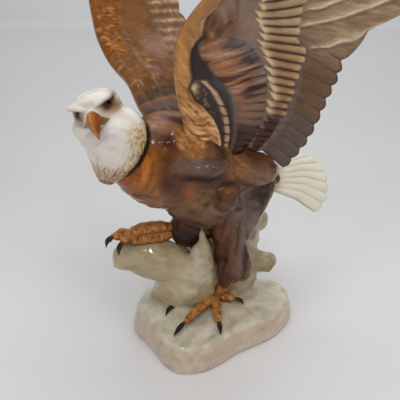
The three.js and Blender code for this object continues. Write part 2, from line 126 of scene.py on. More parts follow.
def shellFaces(rings, sides):
    # quads between neighbouring rings, then a fan to a pole at each end; poles are the last two points
    index = np.arange(rings * sides).reshape(rings, sides)
    nextSide = np.roll(index, -1, axis=1)
    quads = np.stack([index[:-1], nextSide[:-1], nextSide[1:], index[1:]], -1).reshape(-1, 4)
    first = np.full(sides, rings * sides)
    start = np.stack([first, nextSide[0], index[0]], -1)
    finish = np.stack([first + 1, index[-1], nextSide[-1]], -1)
    return quads.tolist() + start.tolist() + finish.tolist()


def sweep(path, where, side, up, upward, sides, carve=None, poles=True):
    # ring point = path(where) + across * side * cos(turn) - over * up * sin(turn)
    # across = direction x upward, over = across x direction
    centre, direction = curveAt(path, where)
    direction = unit(direction)
    across = unit(np.cross(direction, np.asarray(upward, float)))
    over = np.cross(across, direction)
    turn = np.linspace(0, 2 * np.pi, sides, endpoint=False)
    size = np.ones((len(where), sides)) if carve is None else carve(where[:, None], turn[None, :])
    points = (centre[:, None]
              + across[:, None] * (side[:, None] * np.cos(turn) * size)[..., None]
              - over[:, None] * (up[:, None] * np.sin(turn) * size)[..., None])
    ends = np.stack([curveAt(path, 0.0)[0], curveAt(path, 1.0)[0]]) if poles else points[[0, -1]].mean(1)
    return np.vstack([points.reshape(-1, 3), ends]), shellFaces(len(where), sides)


def limb(stations, upward=(0, 0, 1), sides=28, rings=36, blunt=0.4, carve=None):
    # a rounded form: stations are x, y, z, side radius, up radius in shares; radius * sin(pi along)^blunt
    stations = np.asarray(stations, float)
    where = (np.arange(rings) + 0.5) / rings
    girth = curveAt(np.c_[stations[:, 3:5], np.zeros(len(stations))], where)[0] * share
    bluntness = np.sin(np.pi * where) ** blunt
    return sweep(at(stations), where, girth[:, 0] * bluntness, girth[:, 1] * bluntness, upward, sides,
                 carve)


def makePiece(name, shells, slotName, material, paint=None, grid=None):
    # one mesh object from closed shells, faces turned outwards, with its colour and grid coordinates
    points, faces, offset = [], [], 0
    for shellPoints, shellFaceList in shells:
        points.append(np.asarray(shellPoints))
        faces += [[k + offset for k in face] for face in shellFaceList] if offset else shellFaceList
        offset += len(shellPoints)
    points = np.vstack(points)
    mesh = bpy.data.meshes.new(name)
    mesh.from_pydata(points.tolist(), [], faces)
    mesh.update()
    if paint is not None:
        colour = np.c_[np.clip(paint, 0, 255) / 255, np.ones(len(points))]
        colour[:, :3] = np.where(colour[:, :3] <= 0.04045, colour[:, :3] / 12.92,
                                 ((colour[:, :3] + 0.055) / 1.055) ** 2.4)
        layer = mesh.attributes.new("paint", "FLOAT_COLOR", "POINT")
        layer.data.foreach_set("color", colour.astype(np.float32).ravel())
    if grid is not None:
        layer = mesh.uv_layers.new(name="grid")
        corner = np.empty(len(mesh.loops), np.int32)
        mesh.loops.foreach_get("vertex_index", corner)
        layer.data.foreach_set("uv", np.asarray(grid)[corner].astype(np.float32).ravel())
    mesh.shade_smooth()
    piece = bpy.data.objects.new(name, mesh)
    bpy.context.scene.collection.objects.link(piece)
    if material is not None:
        mesh.materials.append(material)
    if slotName:
        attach(piece, "root")
        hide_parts("porcelain_eagle")
        triangles = sum(len(face) - 2 for face in faces)
        print(f"stage: {name} made, {triangles} triangles")
    return piece


def facing(shell):
    # volume = sum of p0 . (p1 x p2) / 6; faces are turned over where it is negative
    points, faces = shell
    tri = np.array([[f[0], f[k], f[k + 1]] for f in faces for k in range(1, len(f) - 1)])
    a, b, c = points[tri[:, 0]], points[tri[:, 1]], points[tri[:, 2]]
    if np.einsum("ij,ij->i", a, np.cross(b, c)).sum() < 0:
        faces = [f[::-1] for f in faces]
    return points, faces


def fuse(shells, voxel, passes):
    # closed shells joined into one skin by a voxel remesh, then relaxed; gives points, faces and normals
    piece = makePiece("skin", [facing(shell) for shell in shells], "", None)
    skin = piece.modifiers.new("skin", "REMESH")
    skin.mode = "VOXEL"
    skin.voxel_size = voxel
    relax = piece.modifiers.new("relax", "SMOOTH")
    relax.factor = 0.5
    relax.iterations = passes
    mesh = bpy.data.meshes.new_from_object(piece.evaluated_get(bpy.context.evaluated_depsgraph_get()))
    points = np.empty(len(mesh.vertices) * 3)
    mesh.vertices.foreach_get("co", points)
    normals = np.empty(len(mesh.vertices) * 3)
    mesh.vertex_normals.foreach_get("vector", normals)
    corners = np.empty(len(mesh.loops), np.int32)
    mesh.loops.foreach_get("vertex_index", corners)
    starts = np.empty(len(mesh.polygons), np.int32)
    mesh.polygons.foreach_get("loop_start", starts)
    faces = [part.tolist() for part in np.split(corners, starts[1:])]
    bpy.data.objects.remove(piece)
    return points.reshape(-1, 3), faces, normals.reshape(-1, 3)


def nearestSpine(points, spines, samples=60):
    # for each point: which spine is nearest, how far along it (metres) and the distance
    places, owner, run = [], [], []
    for number, stations in enumerate(spines):
        place = curveAt(at(stations), np.linspace(0, 1, samples))[0]
        step = np.linalg.norm(np.diff(place, axis=0), axis=1)
        places.append(place)
        owner.append(np.full(samples, number))
        run.append(np.r_[0, np.cumsum(step)])
    places, owner, run = np.vstack(places), np.concatenate(owner), np.concatenate(run)
    best = np.concatenate([np.argmin(((block[:, None] - places[None]) ** 2).sum(-1), axis=1)
                           for block in np.array_split(points, max(1, len(points) // 4000))])
    return owner[best], run[best], np.linalg.norm(points - places[best], axis=1), places[best]


def depthIn(points, stations, upward, blunt, samples=60):
    # 1 on the skin of a limb made from the stations, under 1 inside it: length
    # of the part across each axis / its radius
    stations = np.asarray(stations, float)
    where = np.linspace(0.02, 0.98, samples)
    centre, direction = curveAt(at(stations), where)
    radius = (curveAt(np.c_[stations[:, 3:5], np.zeros(len(stations))], where)[0] * share
              * (np.sin(np.pi * where) ** blunt)[:, None])
    across = unit(np.cross(unit(direction), np.asarray(upward, float)))
    over = np.cross(across, unit(direction))
    near = np.concatenate([np.argmin(((block[:, None] - centre[None]) ** 2).sum(-1), axis=1)
                           for block in np.array_split(points, max(1, len(points) // 4000))])
    offset = points - centre[near]
    past = (offset * unit(direction)[near]).sum(-1) / radius[near, :2].min(-1)
    sideways = np.hypot((offset * across[near]).sum(-1) / radius[near, 0],
                        (offset * over[near]).sum(-1) / radius[near, 1])
    return np.hypot(sideways, past)


# shared shader groups
def newGroup(name, inputs, outputs):
    group = bpy.data.node_groups.new(name, "ShaderNodeTree")
    kinds = {"colour": "NodeSocketColor", "value": "NodeSocketFloat", "vector": "NodeSocketVector"}
    for label, kind, default in inputs:
        socket = group.interface.new_socket(name=label, in_out="INPUT", socket_type=kinds[kind])
        if default is not None:
            socket.default_value = default
    for label, kind in outputs:
        group.interface.new_socket(name=label, in_out="OUTPUT", socket_type=kinds[kind])
    return group, group.nodes.new("NodeGroupInput"), group.nodes.new("NodeGroupOutput")


def addNode(tree, kind, settings=None, **values):
    node = tree.nodes.new(kind)
    for key, value in (settings or {}).items():
        setattr(node, key, value)
    for key, value in values.items():
        node.inputs[key.replace("_", " ")].default_value = value
    return node


def glazeMottleGroup():
    # colour * (1 + amount * soft clouds), then a darker tone where fine clouds pool
    group, given, result = newGroup("glazeMottle", [
        ("Colour", "colour", (0.5, 0.5, 0.5, 1)), ("Dark Tone", "colour", (0.05, 0.03, 0.02, 1)),
        ("Cloud Size", "value", 60.0), ("Amount", "value", 0.2), ("Pooling", "value", 0.2)],
        [("Colour", "colour"), ("Pool", "value")])
    place = addNode(group, "ShaderNodeTexCoord")
    cloud = addNode(group, "ShaderNodeTexNoise", Detail=3.0, Roughness=0.55, Distortion=0.6)
    fine = addNode(group, "ShaderNodeTexNoise", Detail=4.0, Roughness=0.6, Distortion=0.2)
    triple = addNode(group, "ShaderNodeMath", {"operation": "MULTIPLY"})
    triple.inputs[1].default_value = 3.4
    link = group.links.new
    link(place.outputs["Object"], cloud.inputs["Vector"])
    link(place.outputs["Object"], fine.inputs["Vector"])
    link(given.outputs["Cloud Size"], cloud.inputs["Scale"])
    link(given.outputs["Cloud Size"], triple.inputs[0])
    link(triple.outputs[0], fine.inputs["Scale"])
    spread = addNode(group, "ShaderNodeMapRange", From_Min=0.3, From_Max=0.7, To_Min=-1.0, To_Max=1.0)
    link(cloud.outputs["Fac"], spread.inputs["Value"])
    lift = addNode(group, "ShaderNodeMath", {"operation": "MULTIPLY_ADD"})
    lift.inputs[2].default_value = 1.0
    link(spread.outputs["Result"], lift.inputs[0])
    link(given.outputs["Amount"], lift.inputs[1])
    scaled = addNode(group, "ShaderNodeVectorMath", {"operation": "SCALE"})
    link(given.outputs["Colour"], scaled.inputs[0])
    link(lift.outputs[0], scaled.inputs["Scale"])
    pool = addNode(group, "ShaderNodeMapRange", From_Min=0.52, From_Max=0.72, To_Min=0.0, To_Max=1.0)
    link(fine.outputs["Fac"], pool.inputs["Value"])
    portion = addNode(group, "ShaderNodeMath", {"operation": "MULTIPLY"})
    link(pool.outputs["Result"], portion.inputs[0])
    link(given.outputs["Pooling"], portion.inputs[1])
    blend = addNode(group, "ShaderNodeMix", {"data_type": "RGBA"})
    link(portion.outputs[0], blend.inputs[0])
    link(scaled.outputs[0], blend.inputs[6])
    link(given.outputs["Dark Tone"], blend.inputs[7])
    link(blend.outputs[2], result.inputs["Colour"])
    link(pool.outputs["Result"], result.inputs["Pool"])
    return group


def brushStreakGroup():
    # fine strokes along the piece's own grid: noise stretched along u, darker and lighter than the colour
    group, given, result = newGroup("brushStreak", [
        ("Colour", "colour", (0.5, 0.5, 0.5, 1)), ("Strokes", "value", 200.0), ("Length", "value", 5.0),
        ("Amount", "value", 0.2)], [("Colour", "colour"), ("Stroke", "value")])
    link = group.links.new
    place = addNode(group, "ShaderNodeUVMap", {"uv_map": "grid"})
    split = addNode(group, "ShaderNodeSeparateXYZ")
    link(place.outputs["UV"], split.inputs[0])
    alongU = addNode(group, "ShaderNodeMath", {"operation": "MULTIPLY"})
    acrossV = addNode(group, "ShaderNodeMath", {"operation": "MULTIPLY"})
    link(split.outputs["X"], alongU.inputs[0])
    link(given.outputs["Length"], alongU.inputs[1])
    link(split.outputs["Y"], acrossV.inputs[0])
    link(given.outputs["Strokes"], acrossV.inputs[1])
    join = addNode(group, "ShaderNodeCombineXYZ")
    link(alongU.outputs[0], join.inputs["X"])
    link(acrossV.outputs[0], join.inputs["Y"])
    noise = addNode(group, "ShaderNodeTexNoise", Scale=1.0, Detail=3.0, Roughness=0.6, Distortion=0.15)
    link(join.outputs[0], noise.inputs["Vector"])
    spread = addNode(group, "ShaderNodeMapRange", From_Min=0.3, From_Max=0.7, To_Min=-1.0, To_Max=1.0)
    link(noise.outputs["Fac"], spread.inputs["Value"])
    lift = addNode(group, "ShaderNodeMath", {"operation": "MULTIPLY_ADD"})
    lift.inputs[2].default_value = 1.0
    link(spread.outputs["Result"], lift.inputs[0])
    link(given.outputs["Amount"], lift.inputs[1])
    scaled = addNode(group, "ShaderNodeVectorMath", {"operation": "SCALE"})
    link(given.outputs["Colour"], scaled.inputs[0])
    link(lift.outputs[0], scaled.inputs["Scale"])
    link(scaled.outputs[0], result.inputs["Colour"])
    link(spread.outputs["Result"], result.inputs["Stroke"])
    return group


def glazeFlowGroup():
    # slow waves of the glaze for the bump, and a roughness that wanders between two values
    group, given, result = newGroup("glazeFlow", [
        ("Wave Size", "value", 90.0), ("Low", "value", 0.06), ("High", "value", 0.2)],
        [("Height", "value"), ("Roughness", "value")])
    link = group.links.new
    place = addNode(group, "ShaderNodeTexCoord")
    wave = addNode(group, "ShaderNodeTexNoise", Detail=2.0, Roughness=0.4)
    speck = addNode(group, "ShaderNodeTexNoise", Scale=900.0, Detail=2.0, Roughness=0.5)
    link(place.outputs["Object"], wave.inputs["Vector"])
    link(place.outputs["Object"], speck.inputs["Vector"])
    link(given.outputs["Wave Size"], wave.inputs["Scale"])
    sumUp = addNode(group, "ShaderNodeMath", {"operation": "MULTIPLY_ADD"})
    sumUp.inputs[1].default_value = 0.04
    link(speck.outputs["Fac"], sumUp.inputs[0])
    link(wave.outputs["Fac"], sumUp.inputs[2])
    rough = addNode(group, "ShaderNodeMapRange", From_Min=0.35, From_Max=0.65)
    link(wave.outputs["Fac"], rough.inputs["Value"])
    link(given.outputs["Low"], rough.inputs["To Min"])
    link(given.outputs["High"], rough.inputs["To Max"])
    link(sumUp.outputs[0], result.inputs["Height"])
    link(rough.outputs["Result"], result.inputs["Roughness"])
    return group


groups = {"mottle": glazeMottleGroup(), "streak": brushStreakGroup(), "flow": glazeFlowGroup()}


def makeGlaze(name, look):
    # painted colour -> clouds -> brush strokes -> glossy glaze with a clear coat
    material = bpy.data.materials.new(name)
    material.use_nodes = True
    tree = material.node_tree
    tree.nodes.clear()
    link = tree.links.new
    shader = addNode(tree, "ShaderNodeBsdfPrincipled")
    shader.inputs["IOR"].default_value = 1.5
    shader.inputs["Coat Weight"].default_value = look.get("coat", 0.6)
    shader.inputs["Coat Roughness"].default_value = look.get("coatRoughness", 0.03)
    shader.inputs["Specular IOR Level"].default_value = look.get("specular", 0.5)
    output = addNode(tree, "ShaderNodeOutputMaterial")
    paint = addNode(tree, "ShaderNodeAttribute", {"attribute_name": "paint"})
    mottle = addNode(tree, "ShaderNodeGroup", {"node_tree": groups["mottle"]})
    mottle.inputs["Dark Tone"].default_value = look["dark"]
    mottle.inputs["Cloud Size"].default_value = look["cloudSize"]
    mottle.inputs["Amount"].default_value = look["clouds"]
    mottle.inputs["Pooling"].default_value = look["pooling"]
    link(paint.outputs["Color"], mottle.inputs["Colour"])
    colour = mottle.outputs["Colour"]
    if look.get("strokes"):
        streak = addNode(tree, "ShaderNodeGroup", {"node_tree": groups["streak"]})
        streak.inputs["Strokes"].default_value = look["strokes"]
        streak.inputs["Length"].default_value = look["strokeLength"]
        streak.inputs["Amount"].default_value = look["strokeAmount"]
        link(colour, streak.inputs["Colour"])
        colour = streak.outputs["Colour"]
    flow = addNode(tree, "ShaderNodeGroup", {"node_tree": groups["flow"]})
    flow.inputs["Wave Size"].default_value = look["waveSize"]
    flow.inputs["Low"].default_value = look["rough"][0]
    flow.inputs["High"].default_value = look["rough"][1]
    bump = addNode(tree, "ShaderNodeBump", Strength=look["bump"], Distance=0.001)
    link(flow.outputs["Height"], bump.inputs["Height"])
    link(colour, shader.inputs["Base Color"])
    link(flow.outputs["Roughness"], shader.inputs["Roughness"])
    link(bump.outputs["Normal"], shader.inputs["Normal"])
    link(shader.outputs[0], output.inputs[0])
    return material


glazes = {
    "brownGlaze": {"dark": (0.03, 0.012, 0.006, 1), "cloudSize": 70, "clouds": 0.22, "pooling": 0.34,
                   "coat": 0.2, "specular": 0.18,
                   "waveSize": 110, "rough": (0.05, 0.14), "bump": 0.35},
    "featherGlaze": {"dark": (0.04, 0.022, 0.014, 1), "cloudSize": 60, "clouds": 0.12, "pooling": 0.12,
                     "coat": 0.2, "specular": 0.22,
                     "strokes": 170, "strokeLength": 7, "strokeAmount": 0.16,
                     "waveSize": 90, "rough": (0.10, 0.20), "bump": 0.3},
    "whiteGlaze": {"dark": (0.46, 0.36, 0.25, 1), "cloudSize": 80, "clouds": 0.05, "pooling": 0.14,
                   "coat": 0.4, "specular": 0.4,
                   "waveSize": 120, "rough": (0.08, 0.2), "bump": 0.3},
    "tailGlaze": {"dark": (0.62, 0.55, 0.40, 1), "cloudSize": 60, "clouds": 0.03, "pooling": 0.12,
                  "coat": 0.4, "specular": 0.4,
                  "strokes": 120, "strokeLength": 4, "strokeAmount": 0.04,
                  "waveSize": 90, "rough": (0.12, 0.25), "bump": 0.3},
    "orangeGlaze": {"dark": (0.09, 0.03, 0.006, 1), "cloudSize": 160, "clouds": 0.18, "pooling": 0.45,
                    "coat": 0.25, "specular": 0.22,
                    "waveSize": 220, "rough": (0.07, 0.2), "bump": 0.4},
    "darkGlaze": {"dark": (0.01, 0.006, 0.004, 1), "cloudSize": 150, "clouds": 0.25, "pooling": 0.3,
                  "coat": 0.3, "specular": 0.3,
                  "waveSize": 200, "rough": (0.06, 0.14), "bump": 0.2},
    "eyeGlaze": {"dark": (0.004, 0.003, 0.003, 1), "cloudSize": 150, "clouds": 0.1, "pooling": 0.1,
                 "coat": 0.1, "specular": 0.12,
                 "waveSize": 60, "rough": (0.1, 0.16), "bump": 0.05},
    "rockGlaze": {"dark": (0.25, 0.19, 0.11, 1), "cloudSize": 45, "clouds": 0.10, "pooling": 0.3,
                  "coat": 0.5, "specular": 0.4,
                  "waveSize": 60, "rough": (0.06, 0.18), "bump": 0.5},
}
materials = {name: makeGlaze(name, look) for name, look in glazes.items()}
print("stage: glazes made")

# wings
wingShape = {"tipNotch": 0.09, "boneHalf": 7.5, "boneAtTip": 0.5}

nearWing = {
    "lead": [[-7.7, -1.1, 45.8], [-8, -2.2, 53.4], [-9.3, -3.5, 60], [-9.8, -4.9, 65.4], [-9.4, -5.9, 70.4],
             [-7.4, -6.8, 75], [-3.9, -7.3, 79.3], [0.4, -7.6, 83.6], [5.7, -7.6, 87.4],
             [11.5, -7.6, 90.4]],
    "middle": [[11.1, 3.8, 46.3], [14.2, 3.2, 49.7], [16.3, 2.4, 54.1], [17.6, 1.6, 58.7], [18, 0.8, 63.5],
               [18.2, 0, 68.5], [17.7, -0.8, 73.5], [17.5, -1.6, 78.8], [19.9, -2.4, 84.7],
               [23.4, -3.2, 91.4]],
    "tips": [[17.2, 5.9, 41], [20.3, 5.7, 45.1], [22.7, 5.1, 49.7], [24.3, 4.3, 54.9], [25.5, 3.2, 59.8],
             [26.6, 1.9, 64.3], [27.4, 0.3, 68.7], [41.5, -1.6, 81.3], [49.6, -3.2, 89.8],
             [41, -4.9, 99.4]],
    "rows": 252, "columns": 186, "feathers": 14, "bow": -0.03,
    # borders of the painted fields: stations, then shares of the way
    # from the leading edge to the middle line
    "ridge": ([0, 0.5, 1, 1.5, 1.9, 2.1, 2.6, 3.06, 3.6, 4.2, 4.8, 5.5, 6.3, 9],
              [0.43, 0.42, 0.37, 0.31, 0.22, 0.15, 0.11, 0.15, 0.13, 0.12, 0.155, 0.115, 0.15, 0.15]),
    "second": ([4.4, 4.9, 5.7, 6.0, 6.4, 7.5, 9], [0.17, 0.28, 0.34, 0.33, 0.27, 0.2, 0.15]),
    "strip": ([0.2, 1, 1.7, 2.2, 2.66, 2.95], [0.495, 0.46, 0.425, 0.375, 0.315, 0.24]),
    "fanLeft": ([0.5, 1.76, 2.52, 2.99, 3.31, 3.8, 4.2, 4.6],
                [0.545, 0.50, 0.455, 0.395, 0.32, 0.21, 0.16, 0.15]),
    "fanTop": ([0.15, 0.19, 0.32, 0.44, 0.545, 0.655], [4.3, 4.6, 4.97, 5.02, 4.86, 4.41]),
    "greatLeft": ([0, 1.3, 2.3, 3.02, 3.82, 4.46, 5.56, 6.57, 9],
                  [0.74, 0.77, 0.77, 0.745, 0.725, 0.655, 0.545, 0.435, 0.36]),
    "greatRight": ([0, 2.3, 4.3, 5.0, 5.36, 5.65, 6.2, 6.8, 9],
                   [0.93, 0.955, 0.975, 1.02, 1.01, 0.94, 0.93, 0.96, 1.0]),
    # lines of painted highlight along feather edges: reaches, then stations
    "highlightLines": [([0.915, 1.065, 1.215, 1.345, 1.42, 1.565, 1.685, 1.95],
                 [6.14, 6.34, 6.48, 6.57, 6.64, 6.77, 6.91, 7.1]),
                ([1.12, 1.215, 1.48, 1.695, 1.9, 1.985], [5.5, 5.62, 5.96, 6.17, 6.3, 6.48]),
                ([0.95, 1.2, 1.5, 1.75, 1.95], [6.75, 6.95, 7.2, 7.38, 7.6])],
    "greatCoverts": 25, "fanPivot": (-29.7, 59.4), "fanStep": 2.9,
}

farWing = {
    "lead": [[-16.7, 6.5, 53.6], [-19.3, 7.6, 56.8], [-22.3, 10.3, 62.2], [-26.9, 14.1, 66],
             [-30.4, 18.4, 71.4],
             [-32.3, 22.7, 76.7], [-33.3, 25.9, 82.1], [-32.5, 28.1, 87.3], [-29.6, 30, 91.6]],
    "middle": [[-4, 12, 47.4], [-7, 16, 53], [-10.6, 20.6, 60], [-14.4, 25.4, 66.2], [-18, 29.6, 72.8],
               [-20.6, 32.6, 79], [-23, 35, 85.4], [-24.4, 36.6, 91], [-24.4, 37.4, 95.6]],
    "tips": [[3.6, 19.5, 43.6], [-0.1, 23, 51], [-2.9, 27.6, 59.7], [-6.7, 33.8, 68.7], [-8.8, 37.8, 75],
             [-12, 41.1, 82], [-16.1, 43.2, 90], [-19.6, 43.6, 96.6], [-23.4, 41.6, 99.6]],
    "rows": 200, "columns": 150, "feathers": 11, "bow": 0.05,
    "fold": ([0, 0.225, 0.455, 0.805, 2], [0.9, 1.1, 1.28, 1.46, 1.6]),
    "ridgeIn": ([0, 2, 3, 3.6, 4.4, 5.4, 8], [0.10, 0.12, 0.26, 0.36, 0.46, 0.55, 0.55]),
}


def wingSheet(wing):
    # place = lead + (middle - lead) * reach up to the middle line, then
    # middle + (tips - middle) * (reach - 1),
    # cut back at the grooves between feathers; normal = chord x span; bow =
    # share of the chord * sin(pi level / 4)
    along = np.linspace(0, 1, wing["rows"])[:, None]
    reach = np.interp(np.linspace(0, 1, wing["columns"]), [0, 0.66, 1], [0, 1.07, 2])[None, :]
    lead, leadRun = curveAt(at(wing["lead"]), along[:, 0])
    middle = curveAt(at(wing["middle"]), along[:, 0])[0]
    tips, tipRun = curveAt(at(wing["tips"]), along[:, 0])
    chord = tips - lead
    normal = unit(np.cross(chord, unit(unit(leadRun) + unit(tipRun))))
    rib = np.abs(np.sin(np.pi * along * wing["feathers"]))
    notch = (1 - rib) * wingShape["tipNotch"] * (1 + 2 * rise(0.6, 1, along))
    outer = np.clip(reach - 1, 0, 1)
    # 0 to 4 across the wing, quick near the lead
    level = 4 * (1 - np.exp(-1.2 * reach)) / (1 - np.exp(-2.4)) + 0 * along
    inner = np.minimum(reach, 1)[..., None]
    place = lead[:, None] + (middle - lead)[:, None] * inner
    place = place + (tips - middle)[:, None] * (outer * (1 - notch * outer))[..., None]
    place = place + normal[:, None] * (wing["bow"] * np.sin(np.pi * level / 4)
                                       * np.linalg.norm(chord, axis=1)[:, None])[..., None]
    return along, reach, level, place, normal[:, None]


def wingShell(place, normal, front, back):
    # ring = front face left to right, then back face right to left; both
    # faces stand off the sheet by their heights
    rings = np.concatenate([place + normal * front[..., None] * mm,
                            (place - normal * back[..., None] * mm)[:, ::-1]], axis=1)
    rows, sides = rings.shape[:2]
    index = np.arange(rows * sides).reshape(rows, sides)
    nextSide = np.roll(index, -1, axis=1)
    quads = np.stack([index[:-1], nextSide[:-1], nextSide[1:], index[1:]], -1).reshape(-1, 4)
    half = sides // 2
    left, right = np.arange(half - 1), sides - 1 - np.arange(half - 1)
    caps = [np.stack([index[row, left], index[row, left + 1], index[row, right - 1], index[row, right]], -1)
            for row in (0, -1)]
    faces = quads.tolist() + caps[0][:, ::-1].tolist() + caps[1].tolist()
    return facing((rings.reshape(-1, 3), faces))


def bothFaces(front, back):
    # values of the front face, then those of the back face in the order of the ring
    return np.concatenate([front, back[:, ::-1]], axis=1)


def cell(value):
    # part after the point, and the whole part
    return value - np.floor(value), np.floor(value)


def scaleArcs(rowsAt, columnsAt, thickness=0.16):
    # rounded scales in offset rows: 1 on the rim of each scale; and the scale's swell
    row, rowNumber = cell(rowsAt)
    column, _ = cell(columnsAt + 0.5 * (rowNumber % 2))
    distance = np.hypot((column - 0.5) * 1.5, row)
    rim = bell(distance, 0.78, thickness)
    return rim, np.clip(1 - distance, 0, 1)


def boneHeight(along, level):
    # rounded bar along the leading edge; it thins towards the wing tip and runs out without a crease
    bar = np.clip(np.sin(np.pi * np.minimum(level, 1) ** 0.75), 0, 1) ** 1.5
    return wingShape["boneHalf"] * (1 - (1 - wingShape["boneAtTip"]) * along) * bar


def backOfWing(along, reach, level, wing, paintTop, paintTip):
    # plainer side: bone ridge, rows of rounded scales, then ribbed flight feathers
    rib = np.abs(np.sin(np.pi * along * wing["feathers"]))
    bone = boneHeight(along, level)
    rim, swell = scaleArcs(reach * 8.5, along * 26)
    scales = rise(1.04, 0.92, reach)
    great = rise(0.55, 0.62, reach) * rise(1.06, 1.0, reach)
    height = 1.9 + bone + 2.2 * np.sin(np.pi * np.clip(level - 1, 0, 1)) ** 2 * (1 - 0.6 * along)
    height = (height + scales * 0.45 * swell * rise(0.03, 0.12, reach) + 0.8 * great
              + 1.0 * rib * rise(0.95, 1.1, reach))
    colour = mix(np.broadcast_to(np.array(paintTop, float), height.shape + (3,)), paintTip,
                 rise(0.9, 1.2, reach) + 0 * along)
    colour = mix(colour, (205, 160, 110), 0.2 * rim * scales)
    colour = mix(colour, (70, 45, 32), 0.5 * (1 - rib) ** 3 * rise(0.95, 1.05, reach))
    colour = mix(colour, (60, 45, 42), 0.35 * rise(1.85, 2.0, reach) + 0 * along)
    return height, colour


